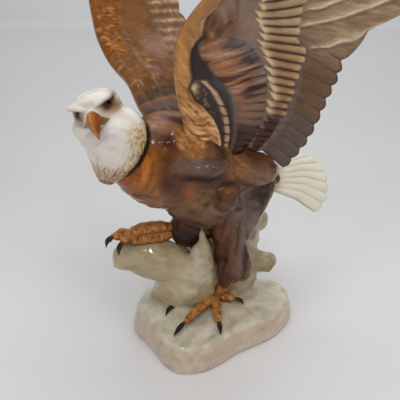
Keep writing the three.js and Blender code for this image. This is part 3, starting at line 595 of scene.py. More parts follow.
def nearWingFront(wing):
    along, reach, level, place, normal = wingSheet(wing)
    station = 9 * along
    spot = (place - [0, 0, figure["plinthHeight"]]) / share
    ridge = np.interp(station, *wing["ridge"])
    strip = np.interp(station, *wing["strip"])
    fanLeft = np.interp(station, *wing["fanLeft"])
    greatLeft = np.interp(station, *wing["greatLeft"])
    greatRight = np.interp(station, *wing["greatRight"])
    fanTop = np.interp(reach, *wing["fanTop"])
    shade = ripple(place, 0.03, 3)
    grain = ripple(place, 0.011, 5)

    # ridge and leaf-shaped lobe along the leading edge
    isRidge = rise(ridge + 0.012, ridge - 0.008, reach)
    over = np.clip(reach / ridge, 0, 1)
    isLeaf = rise(2.3, 1.7, station) * isRidge
    dome = np.sqrt(np.clip(1 - (2 * over - 1) ** 2, 0, 1))
    ridgeHeight = dome * (6.2 - 2.6 * along) * rise(0, 0.08, over + 0.04)
    wavy = ripple(place, 0.0065, 66)
    strands = np.sin(2 * np.pi
                     * (spot[..., 0] * 0.30 + spot[..., 2] * 0.62 + 0.45 * np.sin(spot[..., 0] * 0.9)
                        + 0.3 * shade + 0.22 * wavy))
    strands = 0.55 * strands + 0.6 * brushed(place, (0.82, 0, -0.57), 0.0052, 5, 61)
    coarse = brushed(place, (0.75, 0, -0.66), 0.012, 4, 62)
    leafHeight = (3.2 * dome ** 0.7 + (0.95 * strands + 0.4 * coarse) * np.sin(np.pi * over)
                  + 1.2 * rise(0.8, 0.97, over))
    hairs = brushed(place, (1, 0, 0.12 - 0.3), 0.0046, 7, 63)

    # great coverts: fingers in a column, their lines lean more towards the wing tip
    lean = 0.25 + 1.5 * rise(4.4, 6.9, station)
    finger, fingerNumber = cell((station - lean * (reach - 0.9)) * wing["greatCoverts"] / 9)
    fingerRound = np.sqrt(np.clip(1 - (2 * finger - 1) ** 2, 0, 1))
    uneven = 0.012 * np.sin(fingerNumber * 2.4)
    end = greatRight + uneven - 0.05 * (1 - fingerRound)
    begin = greatLeft + 0.02 * np.sin(fingerNumber * 1.7) + 0.05 * (1 - finger)
    isGreat = rise(begin - 0.008, begin + 0.012, reach) * rise(end + 0.014, end - 0.006, reach)
    isLow = rise(2.25, 1.95, station)

    # fan of small coverts about a pivot in front of the wing
    bearing = np.degrees(np.arctan2(spot[..., 2] - wing["fanPivot"][1], spot[..., 0] - wing["fanPivot"][0]))
    inFan = np.clip((reach - fanLeft) / np.maximum(greatLeft - fanLeft, 0.05), 0, 1)
    arch = 2.2 * (inFan - 0.45) ** 2 * rise(4, 1, station)
    blade, _ = cell((bearing + arch + 12) / wing["fanStep"])
    bladeRound = np.sin(np.pi * blade) ** 0.6
    isFan = (rise(fanLeft - 0.01, fanLeft + 0.02, reach) * rise(greatLeft + 0.015, greatLeft - 0.01, reach)
             * rise(fanTop + 0.1, fanTop - 0.12, station) * (1 - isRidge))

    # second band behind the ridge on the upper half of the wing
    secondIn = np.interp(station, *wing["second"]) + 0.012 * grain
    isSecond = (1 - isRidge) * rise(secondIn + 0.03, secondIn - 0.015, reach) * rise(4.35, 4.75, station)
    inSecond = np.clip((reach - ridge) / np.maximum(secondIn - ridge, 0.02), 0, 1)

    # beige strip, the dark bands beside it and the hollow under the ridge
    isStrip = bell(reach, strip, 0.033) ** 1.4 * rise(3.1, 2.95, station) * (1 - isRidge)
    isStrip = np.clip(isStrip * 1.6, 0, 1)
    isDark = (1 - isRidge) * rise(fanLeft + 0.01, fanLeft - 0.02, reach) * rise(4.75, 4.4, station)

    # flight feathers, each with a soft step over the next one
    quill, quillNumber = cell(along * wing["feathers"])
    quillRound = np.abs(np.sin(np.pi * along * wing["feathers"]))
    isFlight = rise(end - 0.005, end + 0.012, reach)
    sheetHeight = 1.9 + 1.0 * quillRound * rise(0.98, 1.12, reach) + 0.7 * (1 - quill) * isFlight

    height = sheetHeight * isFlight + (1 - isFlight) * 1.6
    height = height + isGreat * (1.6 + 1.5 * fingerRound * rise(begin, begin + 0.09, reach))
    height = height + isFan * (1.0 + 2.6 * np.sin(np.pi * np.clip(inFan, 0.02, 1) ** 0.8)
                               + 0.9 * bladeRound + 0.25 * shade)
    height = height + isDark * (-1.3) * (1 - isStrip) + 0.7 * isStrip
    height = height + isSecond * (0.5 + 2.2 * np.sin(np.pi * inSecond) ** 0.8 + 0.5 * grain)
    height = height * (1 - isRidge) + isRidge * (1.2 + ridgeHeight * (1 - isLeaf) + leafHeight * isLeaf)
    height = height + 0.12 * grain

    # paint
    strokes = brushed(place, (0.95, 0, 0.3), 0.0075, 6, 64)
    colour = np.broadcast_to(np.array([142, 115, 98], float), height.shape + (3,))
    colour = mix(colour, (128, 84, 58), bell(reach, 0.35, 0.06) * bell(station, 5.35, 0.4))
    colour = mix(colour, (170, 140, 118), 0.5 * rise(0.2, 1.1, brushed(place, (0.3, 0, 1), 0.012, 5, 65))
                 * rise(4.8, 5.2, station))
    second = mix(np.broadcast_to(np.array([122, 82, 50], float), height.shape + (3,)), (168, 126, 84),
                 0.8 * rise(0.0, 1.0, grain + 0.6 * coarse))
    # darker mottling, and painted shade towards both edges of the band where it meets its neighbours
    second = mix(second, (82, 52, 34), 0.75 * rise(0.3, 1.0, -grain) + 0.5 * bell(inSecond, 1.0, 0.2)
                 + 0.5 * bell(inSecond, 0, 0.15))
    colour = mix(colour, second, isSecond)
    colour = mix(colour, (150, 126, 112), rise(5.2, 6.4, station) * (0.6 + 0.4 * shade))
    upper = rise(4.4, 6.2, station)
    lower = rise(3.6, 1.6, station)
    flight = mix(mix(np.broadcast_to(np.array([114, 82, 56], float), height.shape + (3,)), (154, 126, 98),
                     upper), (98, 80, 72), lower)
    # painted shadow: grey-mauve just past the ends of the great coverts
    flight = mix(flight, (118, 104, 100), 0.75 * bell(reach, end + 0.03, 0.07) * rise(6.8, 5.2, station))
    primary = rise(5.6, 6.6, station)
    vane = np.sin(2 * np.pi * (quill * 2.0 + 0.3 * quillNumber + 0.15 * shade))
    flight = mix(flight, (176, 148, 118), 0.35 * primary * (0.5 + 0.5 * vane))
    flight = mix(flight, (112, 84, 64), 0.5 * primary * bell(quill, 0.12, 0.1))
    # painted highlight: a cream line along the edge of each primary
    flight = mix(flight, (190, 166, 132), 0.6 * primary * bell(quill, 0.86, 0.085) * rise(0.98, 1.2, reach)
                 * (0.75 + 0.25 * shade))
    # painted highlights: light lines along the listed feather edges, each with a darker line beside it
    for reachAt, stationAt in wing["highlightLines"]:
        streak = np.interp(reach, reachAt, stationAt) + 0.03 * shade
        onStreak = rise(reachAt[0] - 0.05, reachAt[0] + 0.12, reach)
        light = 0.65 * bell(station, streak, 0.035) + 0.35 * bell(station, streak + 0.06, 0.09)
        flight = mix(flight, (236, 220, 192), onStreak * light)
        flight = mix(flight, (92, 68, 52), 0.45 * onStreak * bell(station, streak - 0.09, 0.05))
    edge = bell(quill, 0.0, 0.05) + bell(quill, 1.0, 0.05)
    flight = mix(flight, (56, 38, 30), (1 - primary) * np.clip(edge, 0, 1)
                 * (0.16 + 0.7 * rise(1.55, 1.95, reach)))
    flight = mix(flight, (150, 124, 100), (1 - primary) * 0.25 * bell(quill, 0.82, 0.12)
                 * rise(1.05, 1.4, reach))
    flight = mix(flight, (84, 68, 62), 0.4 * (1 - primary) * rise(0.2, 1.0, hairs))
    flight = mix(flight, (62, 48, 46), 0.6 * rise(1.9, 2.0, reach) * (1 - primary))
    flight = mix(flight, (196, 172, 140), 0.45 * primary * rise(0.4, 1.1, hairs))
    flight = mix(flight, (96, 70, 52), 0.4 * primary * rise(0.4, 1.1, -hairs))
    colour = mix(colour, flight, isFlight)

    great = mix(np.broadcast_to(np.array([176, 136, 96], float), height.shape + (3,)), (148, 106, 74),
                rise(4.2, 2.4, station))
    great = mix(great, (184, 158, 124), 0.6 * rise(5.0, 6.0, station))
    # painted shade on the lower half of each covert finger
    great = mix(great, (104, 68, 42), 0.6 * rise(0.55, 0.1, finger) * rise(6.4, 5.2, station))
    great = mix(great, (234, 212, 168), rise(begin + 0.10, begin + 0.01, reach)
                * (0.45 + 0.55 * fingerRound))
    # lighter finger ends, and a painted highlight along the upper half of each finger
    great = mix(great, (206, 178, 136), 0.6 * bell(reach, end - 0.025, 0.03) * fingerRound
                + 0.4 * bell(finger, 0.72, 0.12) * rise(4.4, 5.4, station))
    great = mix(great, (98, 62, 36), 0.5 * bell(reach, begin + 0.17, 0.06) * (1 - bell(finger, 0.5, 0.3)))
    great = mix(great, (50, 32, 26), np.clip(bell(finger, 0.0, 0.17) + bell(finger, 1.0, 0.09), 0, 1)
                * rise(begin, begin + 0.08, reach))
    # dark red-brown low on the wing near its root, deepened as painted shade
    great = mix(great, (64, 33, 22), isLow * 0.95)
    # painted sheen: a bluish-grey edge along the ends of the low coverts
    great = mix(great, (150, 128, 122), isLow * bell(reach, greatRight - 0.005, 0.02))
    colour = mix(colour, great, isGreat)

    fan = mix(np.broadcast_to(np.array([134, 100, 80], float), height.shape + (3,)), (168, 112, 74),
              bell(inFan, 0.3, 0.28) * rise(1.6, 3.4, station))
    fan = mix(fan, (124, 92, 76), rise(2.4, 1.0, station))
    fan = mix(fan, (52, 32, 24), 0.75 * rise(0.15, 0.85, strokes) * rise(2.0, 3.0, station))
    fan = mix(fan, (196, 172, 158), 0.65 * rise(0.25, 1.0, -strokes) * rise(2.4, 3.6, station))
    # painted sheen: bluish grey along the fan's top rim and its far edge
    rimSheen = (rise(fanTop - 0.6, fanTop - 0.1, station) * rise(0.15, 0.5, inFan)
               + 0.7 * rise(0.84, 0.96, inFan) * rise(2.6, 4.0, station))
    fan = mix(fan, (112, 112, 124), 0.85 * np.clip(rimSheen, 0, 1) * (0.75 + 0.25 * shade))
    # dark lines between the blades, deepening to painted shade at their far ends; more painted shade on one
    # side of the low blades' ends
    fan = mix(fan, (44, 30, 26), np.clip(bell(blade, 0, 0.12) + bell(blade, 1, 0.10), 0, 1)
              * (0.25 + 0.65 * rise(0.3, 0.8, inFan)) * (0.7 + 0.3 * grain))
    fan = mix(fan, (62, 34, 22), 0.9 * rise(0.72, 0.95, inFan) * rise(2.3, 1.9, station)
              * rise(0.45, 0.15, blade))
    # dark red-brown at the bottom of the fan near the wing root, deepened as painted shade
    fan = mix(fan, (58, 30, 19), rise(1.8, 1.1, station) * 0.9)
    # painted sheen: bluish grey along the fan's near edge, low on the wing
    fan = mix(fan, (116, 112, 122), 0.8 * bell(inFan, 0.05, 0.06) * rise(3.2, 2.4, station))
    colour = mix(colour, fan, isFan)

    # painted shade filling the hollow under the ridge and the dark bands, with a bluish painted sheen on
    # the band beyond the strip
    dark = mix(np.broadcast_to(np.array([56, 42, 36], float), height.shape + (3,)), (84, 86, 96),
               0.6 * rise(strip + 0.05, strip + 0.09, reach))
    speckled = rise(0.0, 0.8, ripple(place, 0.006, 67))
    dark = mix(dark, (158, 118, 66), 0.85 * speckled * rise(2.9, 2.6, station) * rise(1.5, 1.9, station)
               * rise(strip - 0.04, strip - 0.09, reach))
    dark = mix(dark, (232, 206, 154), bell(station, 2.62, 0.24) * bell(reach, ridge + 0.035, 0.04))
    colour = mix(colour, dark, isDark)
    bars, _ = cell(station * 2.6 + 0.1)
    beige = mix(np.broadcast_to(np.array([196, 160, 130], float), height.shape + (3,)), (48, 34, 30),
                np.clip(bell(bars, 0.5, 0.10), 0, 1) * rise(2.6, 2.0, station))
    colour = mix(colour, beige, isStrip)

    barbs = np.sin(2 * np.pi * (station * 1.9 + over * 1.4 + 0.5 * shade + 0.25 * grain))
    warm = mix(np.broadcast_to(np.array([192, 132, 74], float), height.shape + (3,)), (222, 168, 108),
               0.45 * rise(-0.2, 1.0, barbs))
    warm = mix(warm, (132, 80, 38), 0.5 * rise(0.1, 1.0, -strands) * rise(3.6, 2.6, station)
               + 0.3 * rise(0.2, 1.0, coarse))
    warm = mix(warm, (166, 116, 70), 0.85 * rise(4.4, 5.6, station))
    warm = mix(warm, (112, 82, 58), 0.5 * rise(4.4, 5.6, station) * rise(0.0, 1.0, coarse))
    # painted shade along the ridge's outer edge
    warm = mix(warm, (92, 62, 44), rise(0.72, 1.0, over) * rise(2.0, 2.8, station)
               * rise(5.0, 4.6, station) * 0.85)
    leaf = mix(np.broadcast_to(np.array([222, 164, 104], float), height.shape + (3,)), (134, 80, 38),
               0.8 * rise(0.05, 0.8, -strands))
    leaf = mix(leaf, (242, 204, 152), 0.6 * rise(0.1, 0.9, strands))
    leaf = mix(leaf, (150, 90, 44), 0.4 * rise(0.1, 1.0, coarse))
    leaf = mix(leaf, (232, 194, 152), 0.85 * rise(0.88, 0.97, over))
    leaf = mix(leaf, (150, 88, 46), 0.4 * rise(0.35, 0.0, over))
    warm = mix(warm, leaf, rise(2.3, 1.7, station) + 0 * reach)
    colour = mix(colour, warm, isRidge)
    rimLine = bell(reach, ridge + 0.012, 0.010) * rise(4.9, 4.6, station)
    colour = mix(colour, (48, 34, 30), 0.8 * rimLine)
    # painted highlight: a pale line along the ridge just inside its edge, on the upper wing
    ridgeHighlight = (bell(reach, ridge - 0.012 + 0.010 * grain + 0.006 * np.sin(8 * station), 0.010)
                * bell(station, 5.45, 0.75))
    colour = mix(colour, (232, 208, 176), 0.85 * ridgeHighlight)
    return along, reach, level, place, normal, height, colour


def farWingFront(wing):
    along, reach, level, place, normal = wingSheet(wing)
    station = 8 * along
    shade = ripple(place, 0.028, 11)
    grain = ripple(place, 0.010, 12)
    ridgeIn = np.interp(station, *wing["ridgeIn"])
    isRidge = rise(1.12, 0.74, reach / ridgeIn + 0.06 * shade)
    dashes = brushed(place, (0.85, 0.45, -0.25), 0.0042, 2.2, 13)
    crescents = brushed(place, (0.9, 0.35, 0.25), 0.0062, 2.6, 15)
    quill, _ = cell(along * wing["feathers"])
    rib = np.abs(np.sin(np.pi * along * wing["feathers"]))
    bone = boneHeight(along, level)
    height = (1.9 + 0.6 * bone + 0.13 * ripple(place, 0.006, 16) + 0.16 * ripple(place, 0.012, 17)
              + 2.4 * np.sin(np.pi * np.clip(level - 1, 0, 1)) ** 2 * (1 - 0.6 * along))
    inArcs = rise(3.25, 2.7, station) * rise(1.25, 1.6, station) * rise(0.8, 0.6, reach)
    height = (height + 0.16 * dashes * isRidge * rise(0.05, 0.15, reach) + 0.16 * crescents * inArcs
              + 0.5 * shade)
    flight = rise(0.98, 1.12, reach)
    height = height + flight * (0.6 * rib + 0.5 * (1 - quill))

    colour = np.broadcast_to(np.array([132, 90, 54], float), height.shape + (3,))
    colour = mix(colour, (94, 66, 44), 0.5 * rise(0.0, 1.0, shade))
    colour = mix(colour, (138, 106, 76), rise(0.9, 1.3, reach) + 0 * along)
    colour = mix(colour, (158, 124, 108), 0.8 * bell(station, 3.3, 0.5) * rise(0.5, 0.75, reach))
    lines = np.sin(2 * np.pi * (along * wing["feathers"] * 2 + reach * 0.6))
    colour = mix(colour, (204, 172, 134), 0.7 * rise(0.2, 1.0, lines) * rise(1.0, 1.25, reach)
                 * rise(3.0, 3.8, station))
    colour = mix(colour, (110, 78, 58), 0.4 * rise(0.2, 1.0, -lines) * rise(1.0, 1.25, reach))
    ridgeTone = mix(np.broadcast_to(np.array([162, 102, 50], float), height.shape + (3,)), (122, 72, 34),
                    np.clip(0.5 + 0.5 * shade, 0, 1))
    ridgeTone = mix(ridgeTone, (216, 160, 92), 0.7 * rise(0.25, 1.1, dashes))
    ridgeTone = mix(ridgeTone, (92, 54, 26), 0.5 * rise(0.3, 1.1, -dashes))
    colour = mix(colour, ridgeTone, isRidge)
    field = mix(np.broadcast_to(np.array([132, 88, 50], float), height.shape + (3,)), (202, 152, 104),
                0.7 * rise(0.25, 1.1, crescents))
    field = mix(field, (90, 56, 34), 0.4 * rise(0.3, 1.1, -crescents))
    colour = mix(colour, field, inArcs)
    stripes = brushed(place, (0.3, 0.2, 1), 0.012, 4, 14)
    colour = mix(colour, (112, 60, 26), 0.9 * bell(station, 2.05, 0.42) * bell(reach, 0.72, 0.15)
                 * rise(-1.0, 0.3, stripes))
    fold = np.interp(reach, *wing["fold"])
    colour = mix(colour, (92, 72, 64), 0.85 * rise(fold + 0.7, fold + 0.15, station))
    colour = mix(colour, (128, 104, 94), 0.9 * rise(fold + 0.02, fold - 0.05, station))
    colour = mix(colour, (84, 64, 58), 0.6 * rise(fold - 0.25, fold - 0.6, station))
    colour = mix(colour, (184, 122, 76), 0.75 * bell(station, fold + 0.03 * shade, 0.05))
    colour = mix(colour, (112, 76, 52), 0.35 * grain * flight)
    return along, reach, level, place, normal, height, colour


def buildWing(name, wing, front, tones):
    along, reach, level, place, normal, height, colour = front(wing)
    back, backColour = backOfWing(along, reach, level, wing, *tones)
    shell = wingShell(place, normal, height, back)
    grid = np.stack(np.broadcast_arrays(reach / 2, along), -1)
    return makePiece(name, [shell], "brown_glaze", materials["featherGlaze"],
                     bothFaces(colour, backColour).reshape(-1, 3), bothFaces(grid, grid).reshape(-1, 2))


buildWing("near_wing", nearWing, nearWingFront, ((150, 96, 52), (132, 104, 80)))
buildWing("far_wing", farWing, farWingFront, ((142, 104, 74), (140, 112, 88)))

# tail
tailFan = {
    "lead": [[15.6, 16.6, 36.9], [15.8, 15.6, 35.9], [15.9, 14.4, 34.6], [15.6, 13.2, 33.4],
             [15.2, 12, 32.2]],
    "middle": [[22.6, 21.4, 38.4], [24.4, 19.6, 37], [25.6, 17.4, 34.6], [25.2, 15, 31.8],
               [23.4, 12.6, 28.8]],
    "tips": [[26, 24.3, 38.9], [30.5, 22.2, 36.8], [33.3, 19.5, 32.6], [33, 16.2, 28], [29.7, 13, 24.1]],
    "rows": 176, "columns": 64, "feathers": 7, "half": 2.1, "rib": 1.3,
}


def buildTail(tail):
    # the same sheet as a wing's, with rounded ribs; height = half + taper + rib * |sin(pi along feathers)|
    along = np.linspace(0, 1, tail["rows"])[:, None]
    reach = np.linspace(0, 2, tail["columns"])[None, :]
    lead, leadRun = curveAt(at(tail["lead"]), along[:, 0])
    middle = curveAt(at(tail["middle"]), along[:, 0])[0]
    tips, tipRun = curveAt(at(tail["tips"]), along[:, 0])
    rib = np.abs(np.sin(np.pi * along * tail["feathers"]))
    outer = np.clip(reach - 1, 0, 1)
    place = lead[:, None] + (middle - lead)[:, None] * np.minimum(reach, 1)[..., None]
    place = place + (tips - middle)[:, None] * (outer * (1 - (1 - rib ** 0.7) * 0.09 * outer))[..., None]
    normal = unit(np.cross(tips - lead, unit(unit(leadRun) + unit(tipRun))))[:, None]
    thin = rise(2.0, 1.9, reach)
    height = ((tail["half"] + 1.2 - 0.6 * reach) * (0.35 + 0.65 * thin)
              + tail["rib"] * rib ** 0.8 * rise(0, 0.7, reach))
    groove = (1 - rib) ** 4
    colour = np.broadcast_to(np.array([238, 232, 214], float), height.shape + (3,))
    colour = mix(colour, (206, 192, 160), 0.55 * groove * rise(0.3, 0.8, reach))
    colour = mix(colour, (226, 204, 160), 0.6 * rise(0.55, 0.2, reach) + 0 * along)
    colour = mix(colour, (122, 104, 84), 0.5 * rise(0.35, 0.1, reach)
                 * (0.6 + 0.4 * ripple(place, 0.012, 8)))
    shell = wingShell(place, normal, height, height)
    grid = np.stack(np.broadcast_arrays(reach / 2, along), -1)
    return makePiece("tail_fan", [shell], "white_glaze", materials["tailGlaze"],
                     bothFaces(colour, colour).reshape(-1, 3), bothFaces(grid, grid).reshape(-1, 2))


buildTail(tailFan)

# body and feathered legs
body = {
    "torso": [[-25.4, -5, 47.6, 7, 8.4], [-20.6, -2.8, 46.6, 9, 11.4], [-14.4, 1.4, 44.6, 10, 13],
              [-8.6, 4.8, 42.8, 10.4, 12.8], [-2, 7.4, 40.2, 10, 11.2], [5, 10, 37.8, 8.6, 8.8],
              [12, 12.6, 36, 6, 6], [18.4, 14.6, 34.6, 4, 3.2]],
    "flank": [[1.7, 0.5, 44.6, 2.8, 2.4], [6, 1.8, 42.8, 4.4, 4.2], [11, 4.6, 41, 4.8, 4.6],
              [16.4, 8.4, 39.6, 3.4, 3.4]],
    "shoulderFold": [[-9.8, -2, 44.8, 2.4, 1.8], [-6, -3.2, 44.4, 3.2, 2.6], [-1.5, -3.2, 44.4, 3.3, 2.6],
                     [3, -1.6, 44.8, 2.6, 2.2]],
    "haunch": [[-3.6, 1.6, 37, 5, 4.8], [0.6, 1.4, 35, 6, 5.8], [4.6, 2.6, 32.4, 5.4, 5.8]],
    "thigh": [[-14.4, 2.6, 37, 4, 4.2], [-10.4, 2.6, 34.6, 5.4, 6.0], [-6, 2.6, 32.8, 5.8, 6.6],
              [-1, 2.4, 31, 5.8, 6.8],
              [3.6, 3, 28.6, 4.8, 5.6]],
    "skirt": [[16, 11.4, 34.8, 3.4, 3.4], [11.8, 8.6, 32.4, 4.2, 4.8], [8.4, 6.6, 28.6, 4.4, 5],
              [6.4, 5, 23, 4.2, 4.2],
              [6, 4.4, 17, 3.4, 3.4]],
    "standingLeg": [[2.4, 6.4, 37, 7, 7.4], [3, 5.2, 31.4, 6.6, 7], [3.4, 4.4, 24.8, 5.3, 5.6],
                    [4, 3.8, 17.6, 4.7, 4.9], [4.9, 3.4, 11.4, 4.8, 5], [5.3, 3.3, 7.4, 4.2, 4.5]],
    "cuffs": [[[3.4, 1.6, 22, 2.2, 2.2], [2.8, 0.4, 15, 2.4, 2.3], [2.6, 0, 9.6, 2.2, 2.1],
               [2.4, 0, 7, 1.6, 1.5]],
              [[6.6, 3, 22, 2, 2.2], [7.4, 2.4, 15.6, 2.3, 2.4], [7.8, 2.2, 10.6, 2.3, 2.3],
               [7.6, 2.2, 8, 1.6, 1.5]]],
    "raisedLeg": [[0.6, 8, 31, 5.4, 5.6], [-3.6, 7, 26, 5, 6.2], [-8, 5.8, 23.4, 4.6, 6.4],
                  [-12.6, 4.7, 22.6, 4, 4.8]],
    "voxel": 0.00125, "relax": 16,
}


def buildBody(shape):
    shells = [
        limb(shape["torso"], sides=64, rings=60, blunt=0.32),
        limb(shape["flank"], blunt=0.5),
        limb(shape["shoulderFold"], blunt=0.5),
        limb(shape["standingLeg"], (0, -1, 0), sides=40, rings=48, blunt=0.28),
        limb(shape["raisedLeg"], sides=40, rings=40, blunt=0.24),
        limb(shape["haunch"], blunt=0.5),
        limb(shape["thigh"], sides=40, rings=40, blunt=0.35),
        limb(shape["skirt"], (0, -1, 0), sides=32, rings=32, blunt=0.35),
    ] + [limb(cuff, (0, -1, 0), blunt=0.35) for cuff in shape["cuffs"]]
    points, faces, normals = fuse(shells, shape["voxel"], shape["relax"])
    spot = (points - [0, 0, figure["plinthHeight"]]) / share
    swell = ripple(points, 0.030, 21)
    fine = ripple(points, 0.012, 22)
    locks = (np.sin(2 * np.pi * (spot[:, 0] * 0.16 - spot[:, 2] * 0.12 + 0.25 * swell))
             * np.sin(2 * np.pi * (spot[:, 2] * 0.14 + spot[:, 1] * 0.07 + 0.2 * fine)))
    onLeg = rise(32, 26, spot[:, 2])
    points = (points + normals
              * ((0.35 * swell + 0.08 * fine + 0.45 * locks * (1 - 0.6 * onLeg)) * mm)[:, None])
    colour = np.broadcast_to(np.array([104, 68, 44], float), points.shape)
    for centre, reach, tone, strength in bodyPatches:
        colour = mix(colour, tone, strength * patchAt(spot, centre, reach))
    onChest = patchAt(spot, (-18, -9, 46), (6, 9, 8))
    plumes = brushed(points, (0.35, 0, 1), 0.011, 4, 23)
    colour = mix(colour, (104, 50, 14), 0.6 * onChest * rise(0.1, 0.9, plumes))
    colour = mix(colour, (214, 142, 62), 0.5 * onChest * rise(0.3, 1.1, -plumes))
    swept = brushed(points, (1, 0.1, -0.5), 0.013, 4, 24)
    colour = mix(colour, (44, 24, 16), 0.42 * (1 - onChest) * rise(0.1, 1.0, swept))
    colour = mix(colour, (188, 132, 78), 0.22 * (1 - onChest) * (1 - onLeg) * rise(0.3, 1.1, -swept))
    onLobe = rise(1.15, 0.75,
                  np.hypot((spot[:, 0] + 6.2 - 0.5 * (50 - spot[:, 2])) / 3.2,
                           (spot[:, 2] - 50.6) / 4.0)) * rise(-0.5, -1.5, spot[:, 1])
    curl = np.sin(2 * np.pi * (spot[:, 0] * 0.42 + spot[:, 2] * 0.62 + 0.30 * ripple(points, 0.009, 26)
                               + 0.3 * swell)) + 0.5 * fine
    lobe = mix(mix(np.broadcast_to(np.array([178, 120, 68], float), points.shape), (134, 82, 42),
                   0.5 * rise(0.0, 1.1, -curl)), (210, 158, 104), 0.45 * rise(0.2, 1.2, curl))
    colour = mix(colour, lobe, 0.9 * onLobe)
    onFlank = patchAt(spot, (4.6, 0, 45), (4.4, 6, 2.4))
    colour = mix(colour, (190, 142, 98), 0.4 * onFlank * rise(0.2, 1.1, curl))
    colour = mix(colour, (104, 62, 36), 0.4 * onFlank * rise(0.1, 1.1, -curl))
    # dark glaze and painted shade in the crease along the ruff's edge
    nearRuff = depthIn(points, head["neck"], (0.1, -0.97, -0.2), 0.3)
    colour = mix(colour, (40, 24, 17), 0.95 * rise(1.13, 1.07, nearRuff) * rise(56, 54, spot[:, 2]))
    falls = brushed(points, (0.15, 0, 1), 0.009, 6, 25)
    colour = mix(colour, (42, 20, 11), 0.6 * onLeg * rise(0.1, 0.9, falls))
    colour = mix(colour, (138, 84, 54), 0.35 * onLeg * rise(0.4, 1.1, -falls) * rise(-6, -2, spot[:, 0]))
    makePiece("body", [(points, faces)], "brown_glaze", materials["brownGlaze"], colour)


# painted fields of the body: centre and reach in shares, colour, strength
bodyPatches = [
    ((-12, 10, 52), (9, 8, 6), (112, 84, 72), 0.7),          # mantle
    ((-4, 16, 44), (9, 8, 8), (124, 84, 54), 0.7),           # back
    ((-18, -9, 46), (7.5, 9, 7.5), (194, 110, 34), 1.0),     # orange chest
    ((-17.5, -5, 35.6), (9, 7, 3.2), (164, 116, 104), 0.9),  # mauve lower edge of the chest, a painted sheen
    ((-13.4, -3, 54.4), (5, 9, 4), (156, 122, 104), 0.95),   # mauve upper breast, a painted sheen
    ((-10.8, -5, 50.6), (2.2, 6, 3), (84, 44, 22), 0.8),     # dark stroke beside the chest
    ((-11.2, -6.4, 46.6), (2, 6, 3), (84, 42, 20), 0.85),
    ((-11.8, -6.6, 42.6), (2, 6, 3), (72, 36, 20), 0.85),
    ((-7.4, -3.7, 50.4), (2.6, 6, 2.6), (118, 66, 34), 0.7),
    ((-9.2, -5.6, 39.2), (2.2, 5, 3), (78, 42, 24), 0.8),
    ((-6.6, -4.7, 39.0), (2, 5, 2), (160, 88, 38), 0.75),
    ((-4.3, -1.2, 33.4), (5, 6, 2.8), (132, 100, 60), 0.7),  # olive tan belly
    ((0.8, -4.0, 36.3), (3.6, 5, 2.6), (84, 52, 32), 0.85),  # dark belly
    # mauve painted sheen below the chest
    ((-12, -4.5, 36.4), (3, 5, 2.4), (120, 92, 84), 0.5),
    ((-8.4, -5.6, 45.8), (3, 5, 1.7), (108, 92, 86), 0.95),  # painted reflection: grey lump under the wing
    ((-4.3, -5.7, 45.8), (3, 5, 2.0), (104, 90, 84), 0.95),
    ((0.3, -5.0, 44.6), (2.8, 5, 2.2), (98, 84, 78), 0.95),
    ((-6.4, -5.0, 42.4), (3, 5, 0.9), (30, 18, 14), 0.9),    # painted shade in the crease under the lump
    ((-1.5, -3.4, 41.5), (3, 5, 0.9), (30, 18, 14), 0.95),
    ((2.8, -1.0, 39.6), (2.6, 5, 0.9), (34, 22, 18), 0.9),
    ((5.6, -1.0, 43.6), (4.2, 5, 3), (160, 112, 72), 0.9),   # tan flank
    ((9.6, 1.4, 45.4), (3.4, 5, 2), (78, 40, 22), 0.85),
    ((11.4, 0, 41.6), (4.4, 6, 2.6), (136, 102, 84), 0.9),
    ((8.4, -0.6, 39.6), (5, 5, 1.2), (156, 100, 56), 0.55),
    ((-9, -2, 31), (5, 7, 3.4), (96, 66, 44), 0.9),          # brown thigh
    ((-3, -3, 33), (5, 7, 4), (142, 112, 78), 0.85),
    ((-6, -2, 28.6), (6, 7, 1.6), (74, 44, 28), 0.8),
    ((1, -3, 29.5), (3, 7, 3), (104, 76, 56), 0.8),
    ((7.3, 2.4, 33.4), (5.4, 6, 4.6), (114, 104, 102), 0.9),  # painted bluish-grey sheen on the rump
    ((8.6, 1.4, 28), (3.6, 6, 5), (124, 112, 110), 0.85),
    ((12.4, 7.9, 34.4), (5, 6, 3.4), (108, 92, 84), 0.8),
    ((9.5, 7.1, 26.6), (4, 6, 6), (112, 98, 94), 0.8),
    ((2.2, 0, 22), (4, 6, 5), (84, 42, 20), 0.95),           # dark red-brown standing leg
    ((1.8, 0, 12), (4, 6, 6.5), (78, 38, 18), 0.95),
    ((6.8, 0, 17), (2, 5, 8), (122, 96, 90), 0.85),          # mauve lobe of the leg, a painted sheen
    ((4.2, -1, 22), (0.9, 4, 6), (132, 92, 70), 0.5),
    ((3, -1.6, 8.4), (2.6, 4, 1.6), (122, 64, 26), 0.6),
    ((-8, 2.4, 22.8), (5.6, 6, 4), (40, 20, 13), 1.0),       # raised leg cup
    ((-8, 2, 27.6), (6, 6, 1.4), (104, 78, 66), 0.6),
    # painted reflection on the lower rim of the raised leg's cup
    ((-8.6, 3.4, 18.2), (4, 4, 0.8), (150, 138, 130), 0.7),
]

